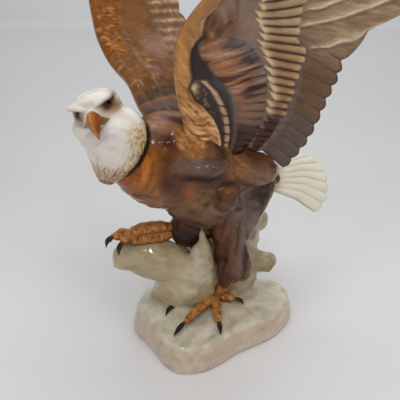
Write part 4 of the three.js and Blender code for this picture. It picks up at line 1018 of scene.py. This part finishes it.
# head and ruff
head = {
    "centre": (-25.8, -5.8, 57.7),
    "across": (0.949, 0.032, 0.314),
    "ahead": (0.05, -0.998, -0.05),
    "skull": [[0, -6.4, -0.8, 4.2, 4.6], [0, -3.4, 0, 5.4, 5.2], [0, 0, 0.1, 5.5, 5.2],
              [0, 2.6, 0, 4.8, 4.7], [0, 4.6, -0.3, 3.6, 3.8], [0, 6, -0.7, 2.2, 2.7]],
    "cheeks": [[-0.4, -2.6, -2.0, 5.4, 3.6], [-0.5, 0.4, -2.0, 6.3, 4.2], [-0.4, 2.8, -2.2, 5.8, 3.8],
               [-0.2, 4.4, -2.4, 4, 2.6]],
    "brow": [[5.0, 0.6, 3.1, 0.5, 0.5], [5.05, 2.0, 3.45, 0.7, 0.55], [4.2, 3.5, 3.45, 0.9, 0.65],
             [2.6, 4.8, 3.05, 0.9, 0.8], [0.9, 5.5, 2.5, 0.8, 0.8]],
    "forehead": [[-5, 1.2, 3.2, 1.4, 0.7], [-3.2, 2.2, 3.6, 2.2, 1.1], [0, 2.8, 3.7, 2.6, 1.3],
                 [3.2, 2.2, 3.6, 2.2, 1.1], [5, 1.2, 3.2, 1.4, 0.7]],
    "neck": [[-25.9, -5, 58.6, 4.6, 4.8], [-25.2, -5.2, 56.8, 6.4, 6.4], [-24, -5.4, 54.6, 7.5, 7.2],
             [-23.2, -5.6, 52, 7.4, 7.8], [-23.4, -6, 49.4, 6.6, 8.1], [-24.1, -6.6, 46.8, 5.5, 7.6],
             [-24.9, -7.4, 44.4, 4.2, 6], [-25.5, -8.4, 42.4, 3, 4]],
    "eye": (3.5, 3.55, 2.05), "eyeRadius": 0.95, "locks": 11, "voxel": 0.0008, "relax": 9,
}
headAcross = unit(np.array(head["across"]))
headAhead = unit(np.array(head["ahead"]))
headUp = unit(np.cross(headAhead, headAcross))


def headSpot(points):
    # head frame -> figure frame: centre + across * a + ahead * b + up * c, in shares
    points = np.asarray(points, float)
    return (np.array(head["centre"]) + points[..., :1] * headAcross + points[..., 1:2] * headAhead
            + points[..., 2:3] * headUp)


def headStations(stations, mirror=1):
    # stations of the head turned into stations of the figure
    stations = np.asarray(stations, float) * [mirror, 1, 1, 1, 1]
    return np.c_[headSpot(stations[:, :3]), stations[:, 3:5]]


def buildHead(shape):
    shells = [
        limb(headStations(shape["skull"]), headUp, sides=48, rings=40, blunt=0.4,
             carve=lambda along, turn: 1 + 0.09 * np.sin(2 * turn) ** 2),
        limb(shape["neck"], (0.1, -0.97, -0.2), sides=96, rings=60, blunt=0.3,
             carve=lambda along, turn: 1 + 0.035 * rise(0.3, 0.9, along) * np.cos(shape["locks"] * turn)),
    ]
    shells.append(limb(headStations(shape["cheeks"]), headUp, sides=48, rings=32, blunt=0.45))
    shells.append(limb(headStations(shape["forehead"]), headUp, sides=32, rings=40, blunt=0.4))
    shells += [limb(headStations(shape["brow"], mirror), headUp, sides=20, rings=24) for mirror in (-1, 1)]
    points, faces, normals = fuse(shells, shape["voxel"], shape["relax"])
    spot = (points - [0, 0, figure["plinthHeight"]]) / share
    local = spot - np.array(shape["centre"])
    a, b, c = local @ headAcross, local @ headAhead, local @ headUp
    eyeA, eyeB, eyeC = shape["eye"]
    socket = np.exp(-(((np.abs(a) - eyeA) / 1.35) ** 2 + ((b - eyeB) / 2.2) ** 2
                      + ((c - eyeC + 0.25) / 0.95) ** 2))
    rim = np.exp(-(((np.abs(a) - eyeA + 0.5) / 2.1) ** 2 + ((b - eyeB) / 2.4) ** 2
                   + ((c - eyeC + 0.9) / 1.3) ** 2))
    browShadow = np.exp(-(((np.abs(a) - eyeA - 0.1) / 1.5) ** 2
                         + ((c - eyeC - 0.35 - 0.12 * (np.abs(a) - 3)) / 0.34) ** 2)) * rise(1.2, 2.6, b)
    _, run, _, place = nearestSpine(points, [shape["neck"]])
    down = run / run.max()
    bearing = np.arctan2(spot[:, 0] - (place[:, 0] / share), -(spot[:, 1] - place[:, 1] / share))
    inRuff = rise(0.38, 0.6, down) * rise(2.5, -1.5, c)
    lock = np.sin(bearing * 13 + 3.0 * down + 1.4 * ripple(points, 0.03, 31))
    fineLock = np.sin(bearing * 34 + 5 * down + 2.0 * ripple(points, 0.02, 32))
    soft = ripple(points, 0.014, 33)
    height = (-2.1 * socket + inRuff * (0.32 * lock + 0.20 * fineLock) + 0.14 * soft
              + 0.25 * ripple(points, 0.03, 34) * (1 - inRuff))
    points = points + normals * (height * mm)[:, None]

    colour = np.broadcast_to(np.array([240, 233, 222], float), points.shape)
    colour = mix(colour, (214, 198, 188), 0.5 * rise(0.2, 1.0, soft))
    colour = mix(colour, (214, 188, 172), 0.55 * patchAt(spot, headSpot((0, 3, -8.5)), (5, 6, 4)))
    # painted shade: grey below the bill
    colour = mix(colour, (186, 184, 186), 0.8 * patchAt(spot, headSpot((1.6, 4.8, -4.4)), (2.6, 4, 2.2)))
    colour = mix(colour, (182, 134, 84), 0.6 * rim)
    # brown round each eye, deepened as painted shade in the socket's dent
    colour = mix(colour, (96, 52, 22), np.clip(1.4 * socket, 0, 1))
    inner = np.exp(-(((a + 2.9) / 0.9) ** 2 + ((b - 3.9) / 1.7) ** 2 + ((c - 1.5) / 1.6) ** 2) ** 2)
    colour = mix(colour, (150, 84, 32), 0.95 * inner)
    farEye = np.exp(-(((a + 3.8) / 0.6) ** 2 + ((b - 3.4) / 1.7) ** 2 + ((c - 2.4) / 1.0) ** 2) ** 2)
    colour = mix(colour, (36, 26, 20), 0.95 * farEye)
    under = np.exp(-(((a + 3.3) / 0.9) ** 2 + ((b - 3.9) / 1.6) ** 2 + ((c + 0.3) / 0.55) ** 2))
    colour = mix(colour, (132, 118, 84), 0.7 * under)
    # painted shadow under each brow
    colour = mix(colour, (30, 20, 15), browShadow)
    wash = np.exp(-(((a - 4.9) / 1.1) ** 2 + ((b - 2.2) / 3) ** 2 + ((c - 0.9) / 1.0) ** 2))
    colour = mix(colour, (146, 104, 60), 0.75 * wash)
    # painted shadow running up to the brow's tip on the right side
    browTipShadow = np.exp(-(((a - 4.7 - 0.5 * (c - 3)) / 0.4) ** 2 + ((b - 2.6) / 2) ** 2
                     + ((c - 3.0) / 1.0) ** 2))
    colour = mix(colour, (72, 60, 42), 0.85 * browTipShadow)
    depth = depthIn(points, body["torso"], (0, 0, 1), 0.32)
    low = rise(0.25, 0.45, down)
    right = rise(0.35, 1.0, bearing) * low
    hem = rise(1.55, 1.12, depth) * low
    speck = rise(0.0, 0.7, ripple(points, 0.0036, 35) + 0.5 * ripple(points, 0.009, 37) + 0.2 * lock)
    colour = mix(colour, (206, 178, 118), 0.75 * right)
    colour = mix(colour, (150, 96, 40), 0.85 * speck * np.maximum(0.8 * right, rise(0.2, 0.8, hem)))
    colour = mix(colour, (240, 228, 198), 0.6 * right * rise(0.3, 0.9, -ripple(points, 0.0036, 35)))
    tip = rise(0.70, 0.86, down) * rise(1.3, 0.7, bearing)
    flare = rise(0.5, 0.8, down) * rise(0.1, 0.7, bearing) * rise(0.2, 0.9, ripple(points, 0.009, 38))
    colour = mix(colour, (168, 112, 58), 0.75 * flare)
    locksLine = np.sin(46 * bearing + 2.2 * ripple(points, 0.012, 36)) + 0.5 * ripple(points, 0.005, 40)
    colour = mix(colour, (188, 150, 108), 0.6 * tip)
    colour = mix(colour, (104, 58, 28), 0.85 * tip * rise(0.1, 0.9, locksLine))
    # painted shade: a dark line in the crease where the ruff meets the body
    colour = mix(colour, (52, 30, 20), 0.95 * rise(1.10, 1.03, depth) * low)
    colour = mix(colour, (60, 36, 24), 0.9 * rise(0.95, 1.0, down) * (c < -3))
    makePiece("head", [(points, faces)], "white_glaze", materials["whiteGlaze"], colour)


def buildEyes(shape):
    shells, tones = [], []
    for mirror in (-1, 1):
        eyeA, eyeB, eyeC = shape["eye"]
        outward = np.array([0.55 * mirror, 0.83, -0.06])
        start = np.array([eyeA * mirror, eyeB, eyeC]) - 1.15 * outward
        stations = [[*(start + outward * step), shape["eyeRadius"], shape["eyeRadius"]]
                    for step in (0, 0.55, 1.1)]
        shell = facing(limb(headStations(stations), headUp, sides=28, rings=20, blunt=0.5))
        distance = np.linalg.norm((shell[0] - at(headSpot(start + outward * 1.1))) / share, axis=1)
        tone = np.broadcast_to(np.array([58, 32, 16], float), shell[0].shape)
        tones.append(mix(tone, (8, 6, 5), rise(1.1, 0.85, distance)))
        shells.append(shell)
    makePiece("eyes", shells, "dark_glaze", materials["eyeGlaze"], np.vstack(tones))


bill = {
    "upper": [[0, 4.2, 0.7, 2.0, 1.6], [0, 5.7, 0.7, 1.75, 1.5], [0, 6.9, 0.1, 1.5, 1.25],
              [0, 7.8, -1.0, 1.05, 0.95],
              [0, 8.25, -2.2, 0.62, 0.6], [0, 8.3, -3.3, 0.25, 0.3]],
    "lip": [[0.8, 6.2, -0.2, 0.9, 1.1], [1.6, 5.7, -0.4, 0.6, 0.85], [2.4, 5.0, -0.7, 0.28, 0.34],
            [3.6, 4.0, -1.0, 0.14, 0.15]],
    "lower": [[0, 3.8, -1.8, 1.8, 0.9], [0, 5.2, -1.8, 1.2, 0.7], [0, 6.6, -1.9, 0.6, 0.4]],
    "voxel": 0.0005,
}


def buildBill(shape):
    def keel(along, turn):
        # section of the bill: a ridge on top, drawn-in flanks, sharp lower edges and a flat underside
        top = np.cos(turn - 1.5 * np.pi)
        return (1 + 0.12 * np.clip(top, 0, 1) ** 6 - 0.10 * bell(top, 0.55, 0.25)
                + 0.08 * bell(top, -0.3, 0.3) - 0.15 * np.clip(-top, 0, 1) ** 3)
    shells = [limb(headStations(shape["upper"]), headAhead + headUp, sides=44, rings=56, blunt=0.3,
                   carve=keel),
              limb(headStations(shape["lower"]), headUp, sides=32, rings=28, blunt=0.4)]
    shells += [limb(headStations(shape["lip"], mirror), headUp, sides=20, rings=28, blunt=0.35)
               for mirror in (-1, 1)]
    points, faces, normals = fuse(shells, shape["voxel"], 4)
    spot = (points - [0, 0, figure["plinthHeight"]]) / share
    local = spot - np.array(head["centre"])
    a, b, c = local @ headAcross, local @ headAhead, local @ headUp
    gape = bell(c, -1.45, 0.13) * rise(7.6, 6.8, b) * rise(4.2, 3.4, np.abs(a))
    points = points - normals * (0.4 * gape * mm)[:, None]
    colour = np.broadcast_to(np.array([166, 98, 38], float), points.shape)
    # painted highlight along the top ridge of the bill
    colour = mix(colour, (204, 150, 92), 0.6 * bell(a, -0.15, 0.38) * rise(4.6, 6.2, b))
    colour = mix(colour, (120, 66, 26), 0.5 * rise(0.1, 0.9, brushed(points, (0, -0.4, 1), 0.004, 5, 39)))
    colour = mix(colour, (134, 118, 84),
                 np.clip(0.85 * rise(6.0, 5.0, b) * rise(-2.2, -0.8, c) + 0.7 * rise(1.0, 2.0, np.abs(a)),
                         0, 0.9))
    colour = mix(colour, (122, 62, 18), 0.7 * rise(0.4, 1.1, a) * rise(5.5, 7, b))
    colour = mix(colour, (112, 60, 24), 0.7 * rise(-2.4, -3.4, c))
    colour = mix(colour, (74, 52, 36), 0.8 * gape)
    nostril = np.exp(-(((np.abs(a) - 1.25) / 0.28) ** 2 + ((b - 5.9) / 0.5) ** 2 + ((c - 1.1) / 0.24) ** 2))
    colour = mix(colour, (50, 38, 32), 0.9 * nostril)
    makePiece("bill", [(points, faces)], "orange_glaze", materials["orangeGlaze"], colour)


buildBody(body)
buildHead(head)
buildEyes(head)
buildBill(bill)

# feet and claws
standingFoot = {
    "toes": [
        [[4.4, 3.2, 9, 2.3, 2.3], [2.6, 2.6, 6, 2, 2.1], [0.2, 1.6, 3.4, 2.2, 2]],
        [[0.4, 1.4, 3, 1.5, 1.5], [-2.4, -1.2, 3, 1.4, 1.4], [-5.8, -5, 2.6, 1.3, 1.3],
         [-8.6, -8.6, 1.9, 1.1, 1.1]],
        [[0, 1.6, 3, 1.5, 1.5], [-4.6, 0.6, 3.2, 1.4, 1.4], [-9, -0.8, 2.8, 1.2, 1.2],
         [-11.4, -1.6, 2.2, 1.1, 1.1]],
        [[0.2, 1.2, 3, 1.5, 1.5], [0.4, -3, 2.9, 1.4, 1.4], [0.6, -6.4, 2.4, 1.2, 1.2],
         [0.8, -8.2, 2, 1.1, 1.1]],
        [[0.6, 1.8, 3, 1.5, 1.5], [3.4, 1.2, 3, 1.4, 1.4], [6, 1, 2.6, 1.2, 1.2]],
    ],
    "claws": [
        [[-8.2, -8, 2.3, 0.9, 0.9], [-10, -10.4, 1.8, 0.9, 0.9], [-11.6, -12, 0.1, 0.5, 0.5]],
        [[-10.8, -1.4, 2.6, 0.9, 0.9], [-13, -2.6, 2, 0.9, 0.9], [-14.2, -4.4, 0.1, 0.5, 0.5]],
        [[0.7, -7.6, 2.3, 0.9, 0.9], [1, -9.8, 1.8, 0.9, 0.9], [1.2, -11.4, 0.1, 0.5, 0.5]],
        [[5.4, 1, 2.8, 0.9, 0.9], [7.4, 0.8, 2.2, 0.8, 0.8], [8.6, 0.6, 0.4, 0.5, 0.5]],
    ],
}
raisedFoot = {
    "toes": [
        [[-11.2, 4.8, 24, 1.9, 2], [-15.4, 3, 25, 1.9, 1.9], [-20, 1, 25.2, 2, 2],
         [-23.4, -0.4, 24.4, 2.2, 2]],
        [[-11.6, 3.8, 22.4, 1.6, 1.7], [-15.6, 2, 22.4, 1.8, 1.8], [-19.4, 0, 22.8, 1.7, 1.7],
         [-22.4, -1.8, 23.2, 1.5, 1.5]],
        [[-22.6, 0, 24.6, 1.6, 1.6], [-25, -1.2, 25, 1.4, 1.4], [-26.8, -2, 24.8, 1.2, 1.2]],
        [[-21.8, 0, 24.4, 1.6, 1.6], [-23.2, -2, 24.4, 1.4, 1.4], [-24.2, -3.6, 24, 1.3, 1.3]],
        [[-22.6, 0.4, 24.2, 1.5, 1.5], [-25, 1.8, 24, 1.3, 1.3], [-27, 2.6, 23, 1.1, 1.1]],
        [[-20.6, 1.4, 24.6, 1.5, 1.5], [-19.6, 3, 23.8, 1.3, 1.3], [-19.2, 4.2, 22.8, 1.1, 1.1]],
    ],
    "claws": [
        [[-26.4, -1.8, 25.2, 0.9, 0.9], [-28, -2.8, 24.2, 0.9, 0.9], [-28.6, -3.6, 22, 0.5, 0.5]],
        [[-24, -3.2, 24.4, 0.9, 0.9], [-24.8, -4.8, 23.2, 0.9, 0.9], [-25, -5.6, 20.8, 0.5, 0.5]],
        [[-26.6, 2.4, 23.4, 0.9, 0.9], [-28.2, 2.8, 22, 0.8, 0.8], [-28.8, 2.6, 20, 0.5, 0.5]],
        [[-19.2, 3.8, 23, 0.9, 0.9], [-19, 5, 21.8, 0.8, 0.8], [-19, 5.4, 20, 0.5, 0.5]],
    ],
}
footLook = {"voxel": 0.0006, "scute": 2.9, "scuteDepth": 0.14}


def buildFoot(name, shape):
    shells = [limb(stations, (0, 0, 1) if abs(stations[0][2] - stations[-1][2]) < 4 else (0, -1, 0),
                   sides=24, rings=28, blunt=0.3) for stations in shape["toes"]]
    points, faces, normals = fuse(shells, footLook["voxel"], 4)
    _, run, _, _ = nearestSpine(points, shape["toes"])
    ring = np.sin(np.pi * run / (footLook["scute"] * mm))
    joint = np.sin(np.pi * run / (9.5 * mm)) ** 2
    top = rise(-0.5, 0.6, normals[:, 2] - 0.4 * normals[:, 1])
    height = (footLook["scuteDepth"] * (np.abs(ring) - 0.6) * top + 0.35 * (joint - 0.5)
              + 0.3 * ripple(points, 0.010, 41))
    points = points + normals * (height * mm)[:, None]
    colour = np.broadcast_to(np.array([184, 120, 58], float), points.shape)
    blotch = ripple(points, 0.009, 42)
    # painted light: the upward-facing tops are lighter, most on the knuckles
    colour = mix(colour, (226, 172, 104), 0.65 * top * rise(0.0, 0.9, joint - 0.5 + 0.6 * blotch))
    # painted shade in the grooves between scutes on top
    colour = mix(colour, (92, 44, 16), 0.6 * (1 - np.abs(ring)) ** 3 * top * rise(-0.4, 0.8, blotch))
    # painted shade: surfaces facing down are darker
    colour = mix(colour, (84, 44, 18), 0.7 * rise(0.35, -0.5, normals[:, 2]))
    colour = mix(colour, (98, 52, 22), 0.55 * rise(0.2, 1.0, ripple(points, 0.006, 43)))
    makePiece(name, [(points, faces)], "orange_glaze", materials["orangeGlaze"], colour)


def buildClaws(feet):
    # tapering hooks, dark with a lighter root
    shells, tones = [], []
    for stations in [claw for foot in feet for claw in foot["claws"]]:
        stations = np.array(stations, float)
        stations[0, 3:] *= 0.95
        stations[1, 3:] *= 0.74
        stations[2, :3] = stations[1, :3] + 0.8 * (stations[2, :3] - stations[1, :3])
        stations[2, 3:] = 0.16
        shell = facing(limb(stations, sides=22, rings=26, blunt=0.4))
        tone = np.broadcast_to(np.array([50, 32, 24], float), shell[0].shape)
        root = np.linalg.norm(shell[0] - at(stations[:1])[0], axis=1) / share
        tones.append(mix(tone, (124, 78, 40), 0.8 * rise(2.0, 0.6, root)))
        shells.append(shell)
    makePiece("claws", shells, "dark_glaze", materials["darkGlaze"], np.vstack(tones))


buildFoot("standing_foot", standingFoot)
buildFoot("raised_foot", raisedFoot)
buildClaws([standingFoot, raisedFoot])

# rock and plinth
rock = {
    "trunk": [[2.6, 9.6, -2, 11, 9], [3.4, 9.8, 5, 10.4, 7.6], [4.6, 10.4, 12, 8.6, 6.6],
              [6.6, 11.6, 20, 6.8, 6.2], [8.6, 12.4, 28, 5.8, 5.8], [9, 12, 34, 4.4, 4.6]],
    "arm": [[3, 8, 7, 7, 6], [-5, 4.8, 10.6, 6.8, 6.6], [-11.4, 3, 13.6, 5.8, 5.6],
            [-17.4, 1.4, 16.2, 5, 6.2],
            [-22.6, 0, 17.7, 4.6, 5.7], [-27.6, -1.4, 17.9, 3.6, 4.4]],
    "web": [[-16.5, 2.2, 14.6, 4.4, 4.4], [-11.6, 2.2, 11, 8.6, 5.4], [-8.8, 2.8, 6, 10.2, 6.2],
            [-8.2, 4, 0.5, 11.4, 7]],
    "apron": [[-8, 4, 4.5, 9.5, 5.6], [-8, 4.4, 1.6, 12, 7.6], [-7.6, 5, -0.4, 14.6, 10],
              [-7.4, 5.4, -2.6, 15, 10]],
    "shelf": [[-8.4, 8, -3, 10.6, 6.8], [-8.4, 7.2, 2, 9.6, 6], [-8.4, 5.6, 8, 8.4, 6],
              [-7.4, 4.4, 14, 6.4, 5.8]],
    "fin": [[-4.8, 2, 4, 5, 3.4], [-4.6, 1.2, 12, 4.5, 3], [-3.7, 0.8, 18, 3.2, 2.2],
            [-3.4, 1, 22, 1.7, 1.4], [-4.1, 1.8, 26, 0.6, 0.6]],
    "stub": [[5.6, 9.6, 10, 3.4, 3.6], [10, 8.6, 10.8, 3.3, 3.5], [13.8, 6.6, 11.5, 3.1, 3.2],
             [16.4, 4.6, 12, 3.1, 3.1]],
    "knob": [[9, 12, 21, 3, 3.4], [12.4, 12.8, 21.8, 3, 3.2], [15.6, 13.5, 22.4, 2.4, 2.6]],
    "voxel": 0.0016, "relax": 12,
}
plinth = {
    "length": 0.177, "width": 0.123, "height": 0.029, "foot": 0.007, "batter": 0.05, "bump": 0.0022,
    "outline": [[1, 0.42], [0.9, 0.84], [0.56, 1], [0, 1], [-0.56, 0.94], [-0.93, 0.6], [-1, 0],
                [-0.78, -0.42],
                [-0.46, -0.97], [-0.18, -0.98], [0.02, -0.84], [0.24, -0.6], [0.68, -0.24], [0.9, 0.1]],
}


def plinthShell(shape, rings=60, sides=180):
    # point = outline(turn) * spread, height by level; a worked top with soft waves
    height, rim = shape["height"], shape["height"] - 0.003
    levels = np.array([[1, 0], [1, shape["foot"]], [1 - shape["batter"] / 2, rim * 0.6],
                       [1 - shape["batter"], rim],
                       [0.9, height], [0.68, height + 0.0015], [0.36, height + 0.003],
                       [0.02, height + 0.004]])
    step = np.linspace(0, 1, rings) * (len(levels) - 1)
    spread = np.interp(step, np.arange(len(levels)), levels[:, 0])[:, None]
    rising = np.interp(step, np.arange(len(levels)), levels[:, 1])[:, None]
    turn = np.linspace(0, 1, sides, endpoint=False)
    corners = np.array(shape["outline"]) * [shape["length"] / 2, shape["width"] / 2]
    edge = curveAt(np.c_[corners, np.zeros(len(corners))], turn, closed=True)[0][None]
    bearing = 2 * np.pi * turn[None]
    worked = shape["bump"] * rise(0.97, 0.9, spread) * rise(shape["foot"], rim, rising)
    wave = worked * np.sin(5 * bearing + 9 * spread) * np.cos(3 * bearing - 4 * spread)
    points = edge * spread[..., None] + np.array([0, 0, 1.0]) * (rising + wave)[..., None]
    ends = np.array([[0, 0, 0], [0, 0, height + 0.004]])
    return np.vstack([points.reshape(-1, 3), ends]), shellFaces(rings, sides)


def stubShell(shape):
    # broken-off branch: the tube's end turns in and goes back, so it stays hollow
    path = at(shape["stub"])
    where = np.array([0, 0.1, 0.25, 0.4, 0.55, 0.7, 0.82, 0.9, 0.95, 0.98, 0.99, 0.97, 0.92, 0.85, 0.8])
    factor = np.array([0.5, 0.9, 1, 1, 1, 1, 1, 1, 0.98, 0.9, 0.75, 0.62, 0.58, 0.55, 0.3])
    girth = curveAt(np.c_[np.array(shape["stub"])[:, 3:5], np.zeros(4)], where)[0] * share * factor[:, None]
    return sweep(path, where, girth[:, 0], girth[:, 1], (0, 0, 1), 40, poles=False)


def buildRock(shape, base):
    shells = [
        plinthShell(base),
        limb(shape["trunk"], (0, -1, 0), sides=48, rings=40, blunt=0.22),
        limb(shape["arm"], sides=40, rings=44, blunt=0.22),
        limb(shape["web"], (0, -1, 0), sides=40, rings=36, blunt=0.35),
        limb(shape["apron"], (0, -1, 0), sides=48, rings=30, blunt=0.2),
        limb(shape["shelf"], (0, -1, 0), sides=40, rings=30, blunt=0.25),
        limb(shape["fin"], (0, -1, 0), sides=24, rings=24, blunt=0.5),
        limb(shape["knob"], sides=24, rings=24, blunt=0.45),
        stubShell(shape),
    ]
    points, faces, normals = fuse(shells, shape["voxel"], shape["relax"])
    spot = (points - [0, 0, figure["plinthHeight"]]) / share
    onRock = rise(-1.0, 2.5, spot[:, 2])
    lump = ripple(points, 0.042, 51)
    chip = ripple(points, 0.018, 52)
    fine = ripple(points, 0.008, 53)
    side = rise(0.004, 0.010, points[:, 2])
    ledges = brushed(points, (1, 1, 0), 0.012, 7, 56)
    height = (onRock * (1.3 * lump + 0.8 * chip) + (1 - onRock) * side * (0.3 * chip + 0.16 * ledges)
              + 0.16 * fine * side)
    points = points + normals * (height * mm)[:, None]
    points[:, 2] = np.maximum(points[:, 2], 0)
    colour = np.broadcast_to(np.array([182, 164, 130], float), points.shape)
    colour = mix(colour, (146, 124, 88), 0.6 * rise(0.0, 1.0, -lump))
    colour = mix(colour, (206, 198, 176), 0.5 * rise(0.2, 1.0, lump))
    vein = brushed(points, (0.9, 0, -0.5), 0.012, 5, 54)
    colour = mix(colour, (214, 208, 190), 0.4 * rise(0.5, 1.1, vein))
    colour = mix(colour, (132, 120, 92), 0.35 * rise(0.5, 1.1, -vein))
    onTop = rise(3.0, 0.0, spot[:, 2])
    colour = mix(colour, (214, 204, 180), onTop)
    colour = mix(colour, (176, 170, 146), 0.55 * onTop * rise(0.0, 1.0, chip))
    colour = mix(colour, (228, 222, 206), 0.5 * onTop * rise(0.2, 1.1, -lump))
    onSide = rise(0.6, 0.25, normals[:, 2]) * rise(0.031, 0.026, points[:, 2])
    colour = mix(colour, (206, 184, 160), onSide)
    bands = brushed(points, (1, 1, 0), 0.011, 9, 55)
    colour = mix(colour, (224, 208, 190), 0.35 * onSide * rise(0.0, 0.9, bands))
    colour = mix(colour, (190, 166, 142), 0.3 * onSide * rise(0.2, 1.0, -bands))
    colour = mix(colour, (118, 92, 66), 0.75 * patchAt(spot, (16.6, 4.2, 12), (1.7, 1.8, 1.7)))
    makePiece("rock_and_plinth", [(points, faces)], "rock_glaze", materials["rockGlaze"], colour)


buildRock(rock, plinth)

# studio
studio = {"floorColour": (0.80, 0.79, 0.79, 1), "wallColour": (0.66, 0.69, 0.71, 1), "front": -1.6,
          "wall": 0.75,
          "bend": 0.30, "height": 2.2, "half": 2.2}


def buildBackdrop(look):
    # profile: flat floor, quarter round of the bend radius, straight wall; drawn out sideways
    angle = np.linspace(0, np.pi / 2, 24)
    profile = np.vstack([
        np.c_[np.linspace(look["front"], look["wall"] - look["bend"], 12), np.zeros(12)],
        np.c_[look["wall"] - look["bend"] + look["bend"] * np.sin(angle),
              look["bend"] * (1 - np.cos(angle))],
        np.c_[np.full(8, look["wall"]), np.linspace(look["bend"], look["height"], 8)],
    ])
    side = np.linspace(-look["half"], look["half"], 9)
    points = np.stack([np.broadcast_to(side[None], (len(profile), 9)),
                       np.broadcast_to(profile[:, :1], (len(profile), 9)),
                       np.broadcast_to(profile[:, 1:], (len(profile), 9))], -1)
    index = np.arange(len(profile) * 9).reshape(len(profile), 9)
    quads = np.stack([index[:-1, :-1], index[:-1, 1:], index[1:, 1:], index[1:, :-1]], -1).reshape(-1, 4)
    mesh = bpy.data.meshes.new("backdrop")
    mesh.from_pydata(points.reshape(-1, 3).tolist(), [], quads.tolist())
    mesh.shade_smooth()
    piece = bpy.data.objects.new("backdrop", mesh)
    bpy.context.scene.collection.objects.link(piece)
    material = bpy.data.materials.new("backdropPaper")
    material.use_nodes = True
    tree = material.node_tree
    shader = tree.nodes["Principled BSDF"]
    place = addNode(tree, "ShaderNodeTexCoord")
    split = addNode(tree, "ShaderNodeSeparateXYZ")
    ramp = addNode(tree, "ShaderNodeMapRange", From_Min=0.0, From_Max=0.5)
    blend = addNode(tree, "ShaderNodeMix", {"data_type": "RGBA"})
    blend.inputs[6].default_value = look["floorColour"]
    blend.inputs[7].default_value = look["wallColour"]
    tree.links.new(place.outputs["Object"], split.inputs[0])
    tree.links.new(split.outputs["Z"], ramp.inputs["Value"])
    tree.links.new(ramp.outputs["Result"], blend.inputs[0])
    tree.links.new(blend.outputs[2], shader.inputs["Base Color"])
    shader.inputs["Roughness"].default_value = 0.35
    mesh.materials.append(material)


buildBackdrop(studio)


def addLight(name, kind, place, target, power, size, mirrored, colour=(1, 1, 1)):
    data = bpy.data.lights.new(name, kind)
    data.energy = power
    data.color = colour
    if kind == "AREA":
        data.shape = "RECTANGLE"
        data.size, data.size_y = size
    lamp = bpy.data.objects.new(name, data)
    lamp.visible_glossy = mirrored
    lamp.location = place
    direction = np.asarray(target, float) - place
    lamp.rotation_euler = (np.arctan2(np.hypot(direction[0], direction[1]), -direction[2]), 0,
                           np.arctan2(direction[1], direction[0]) - np.pi / 2)
    bpy.context.scene.collection.objects.link(lamp)
    return lamp


# name, place, target, watts, size, whether the glaze mirrors it
lights = [
    ("overhead", (0.0, -0.1, 1.5), (0, 0, 0.2), 9.6, (1.3, 0.9), False),
    ("window", (-1.1, -0.9, 0.9), (0, 0, 0.2), 4.0, (0.5, 0.9), False),
    ("fillRight", (1.2, -0.9, 0.7), (0, 0, 0.2), 2.8, (0.7, 0.9), False),
    ("fillFront", (0.0, -1.5, 0.9), (0, 0, 0.2), 4.2, (1.6, 0.9), False),
    ("lampA", (-0.25, -0.9, 1.2), (0, 0, 0.2), 0.9, (0.05, 0.05), True),
    ("lampB", (0.35, -0.7, 1.3), (0, 0, 0.2), 0.8, (0.05, 0.05), True),
    ("lampF", (0.75, -0.6, 0.9), (0, 0, 0.2), 0.4, (0.035, 0.035), True),
    ("back", (0.2, 0.6, 1.3), (0, 0, 0.2), 2.2, (0.8, 0.3), False),
]
for name, place, target, power, size, mirrored in lights:
    addLight(name, "AREA", place, target, power, size, mirrored)

world = bpy.data.worlds.new("softRoom")
world.use_nodes = True
world.node_tree.nodes["Background"].inputs["Color"].default_value = (0.86, 0.88, 0.9, 1)
world.node_tree.nodes["Background"].inputs["Strength"].default_value = 0.12
bpy.context.scene.world = world
bpy.context.scene.view_settings.view_transform = "Standard"

cameraData = bpy.data.cameras.new("camera")
cameraData.sensor_width = 36
cameraData.lens = 36
camera = bpy.data.objects.new("camera", cameraData)
camera.location = (-0.016, -0.339, 0.315)
camera.rotation_euler = (np.radians(65), 0, 0)
bpy.context.scene.collection.objects.link(camera)
bpy.context.scene.camera = camera
print("stage: studio ready")

bpy.context.view_layer.update()
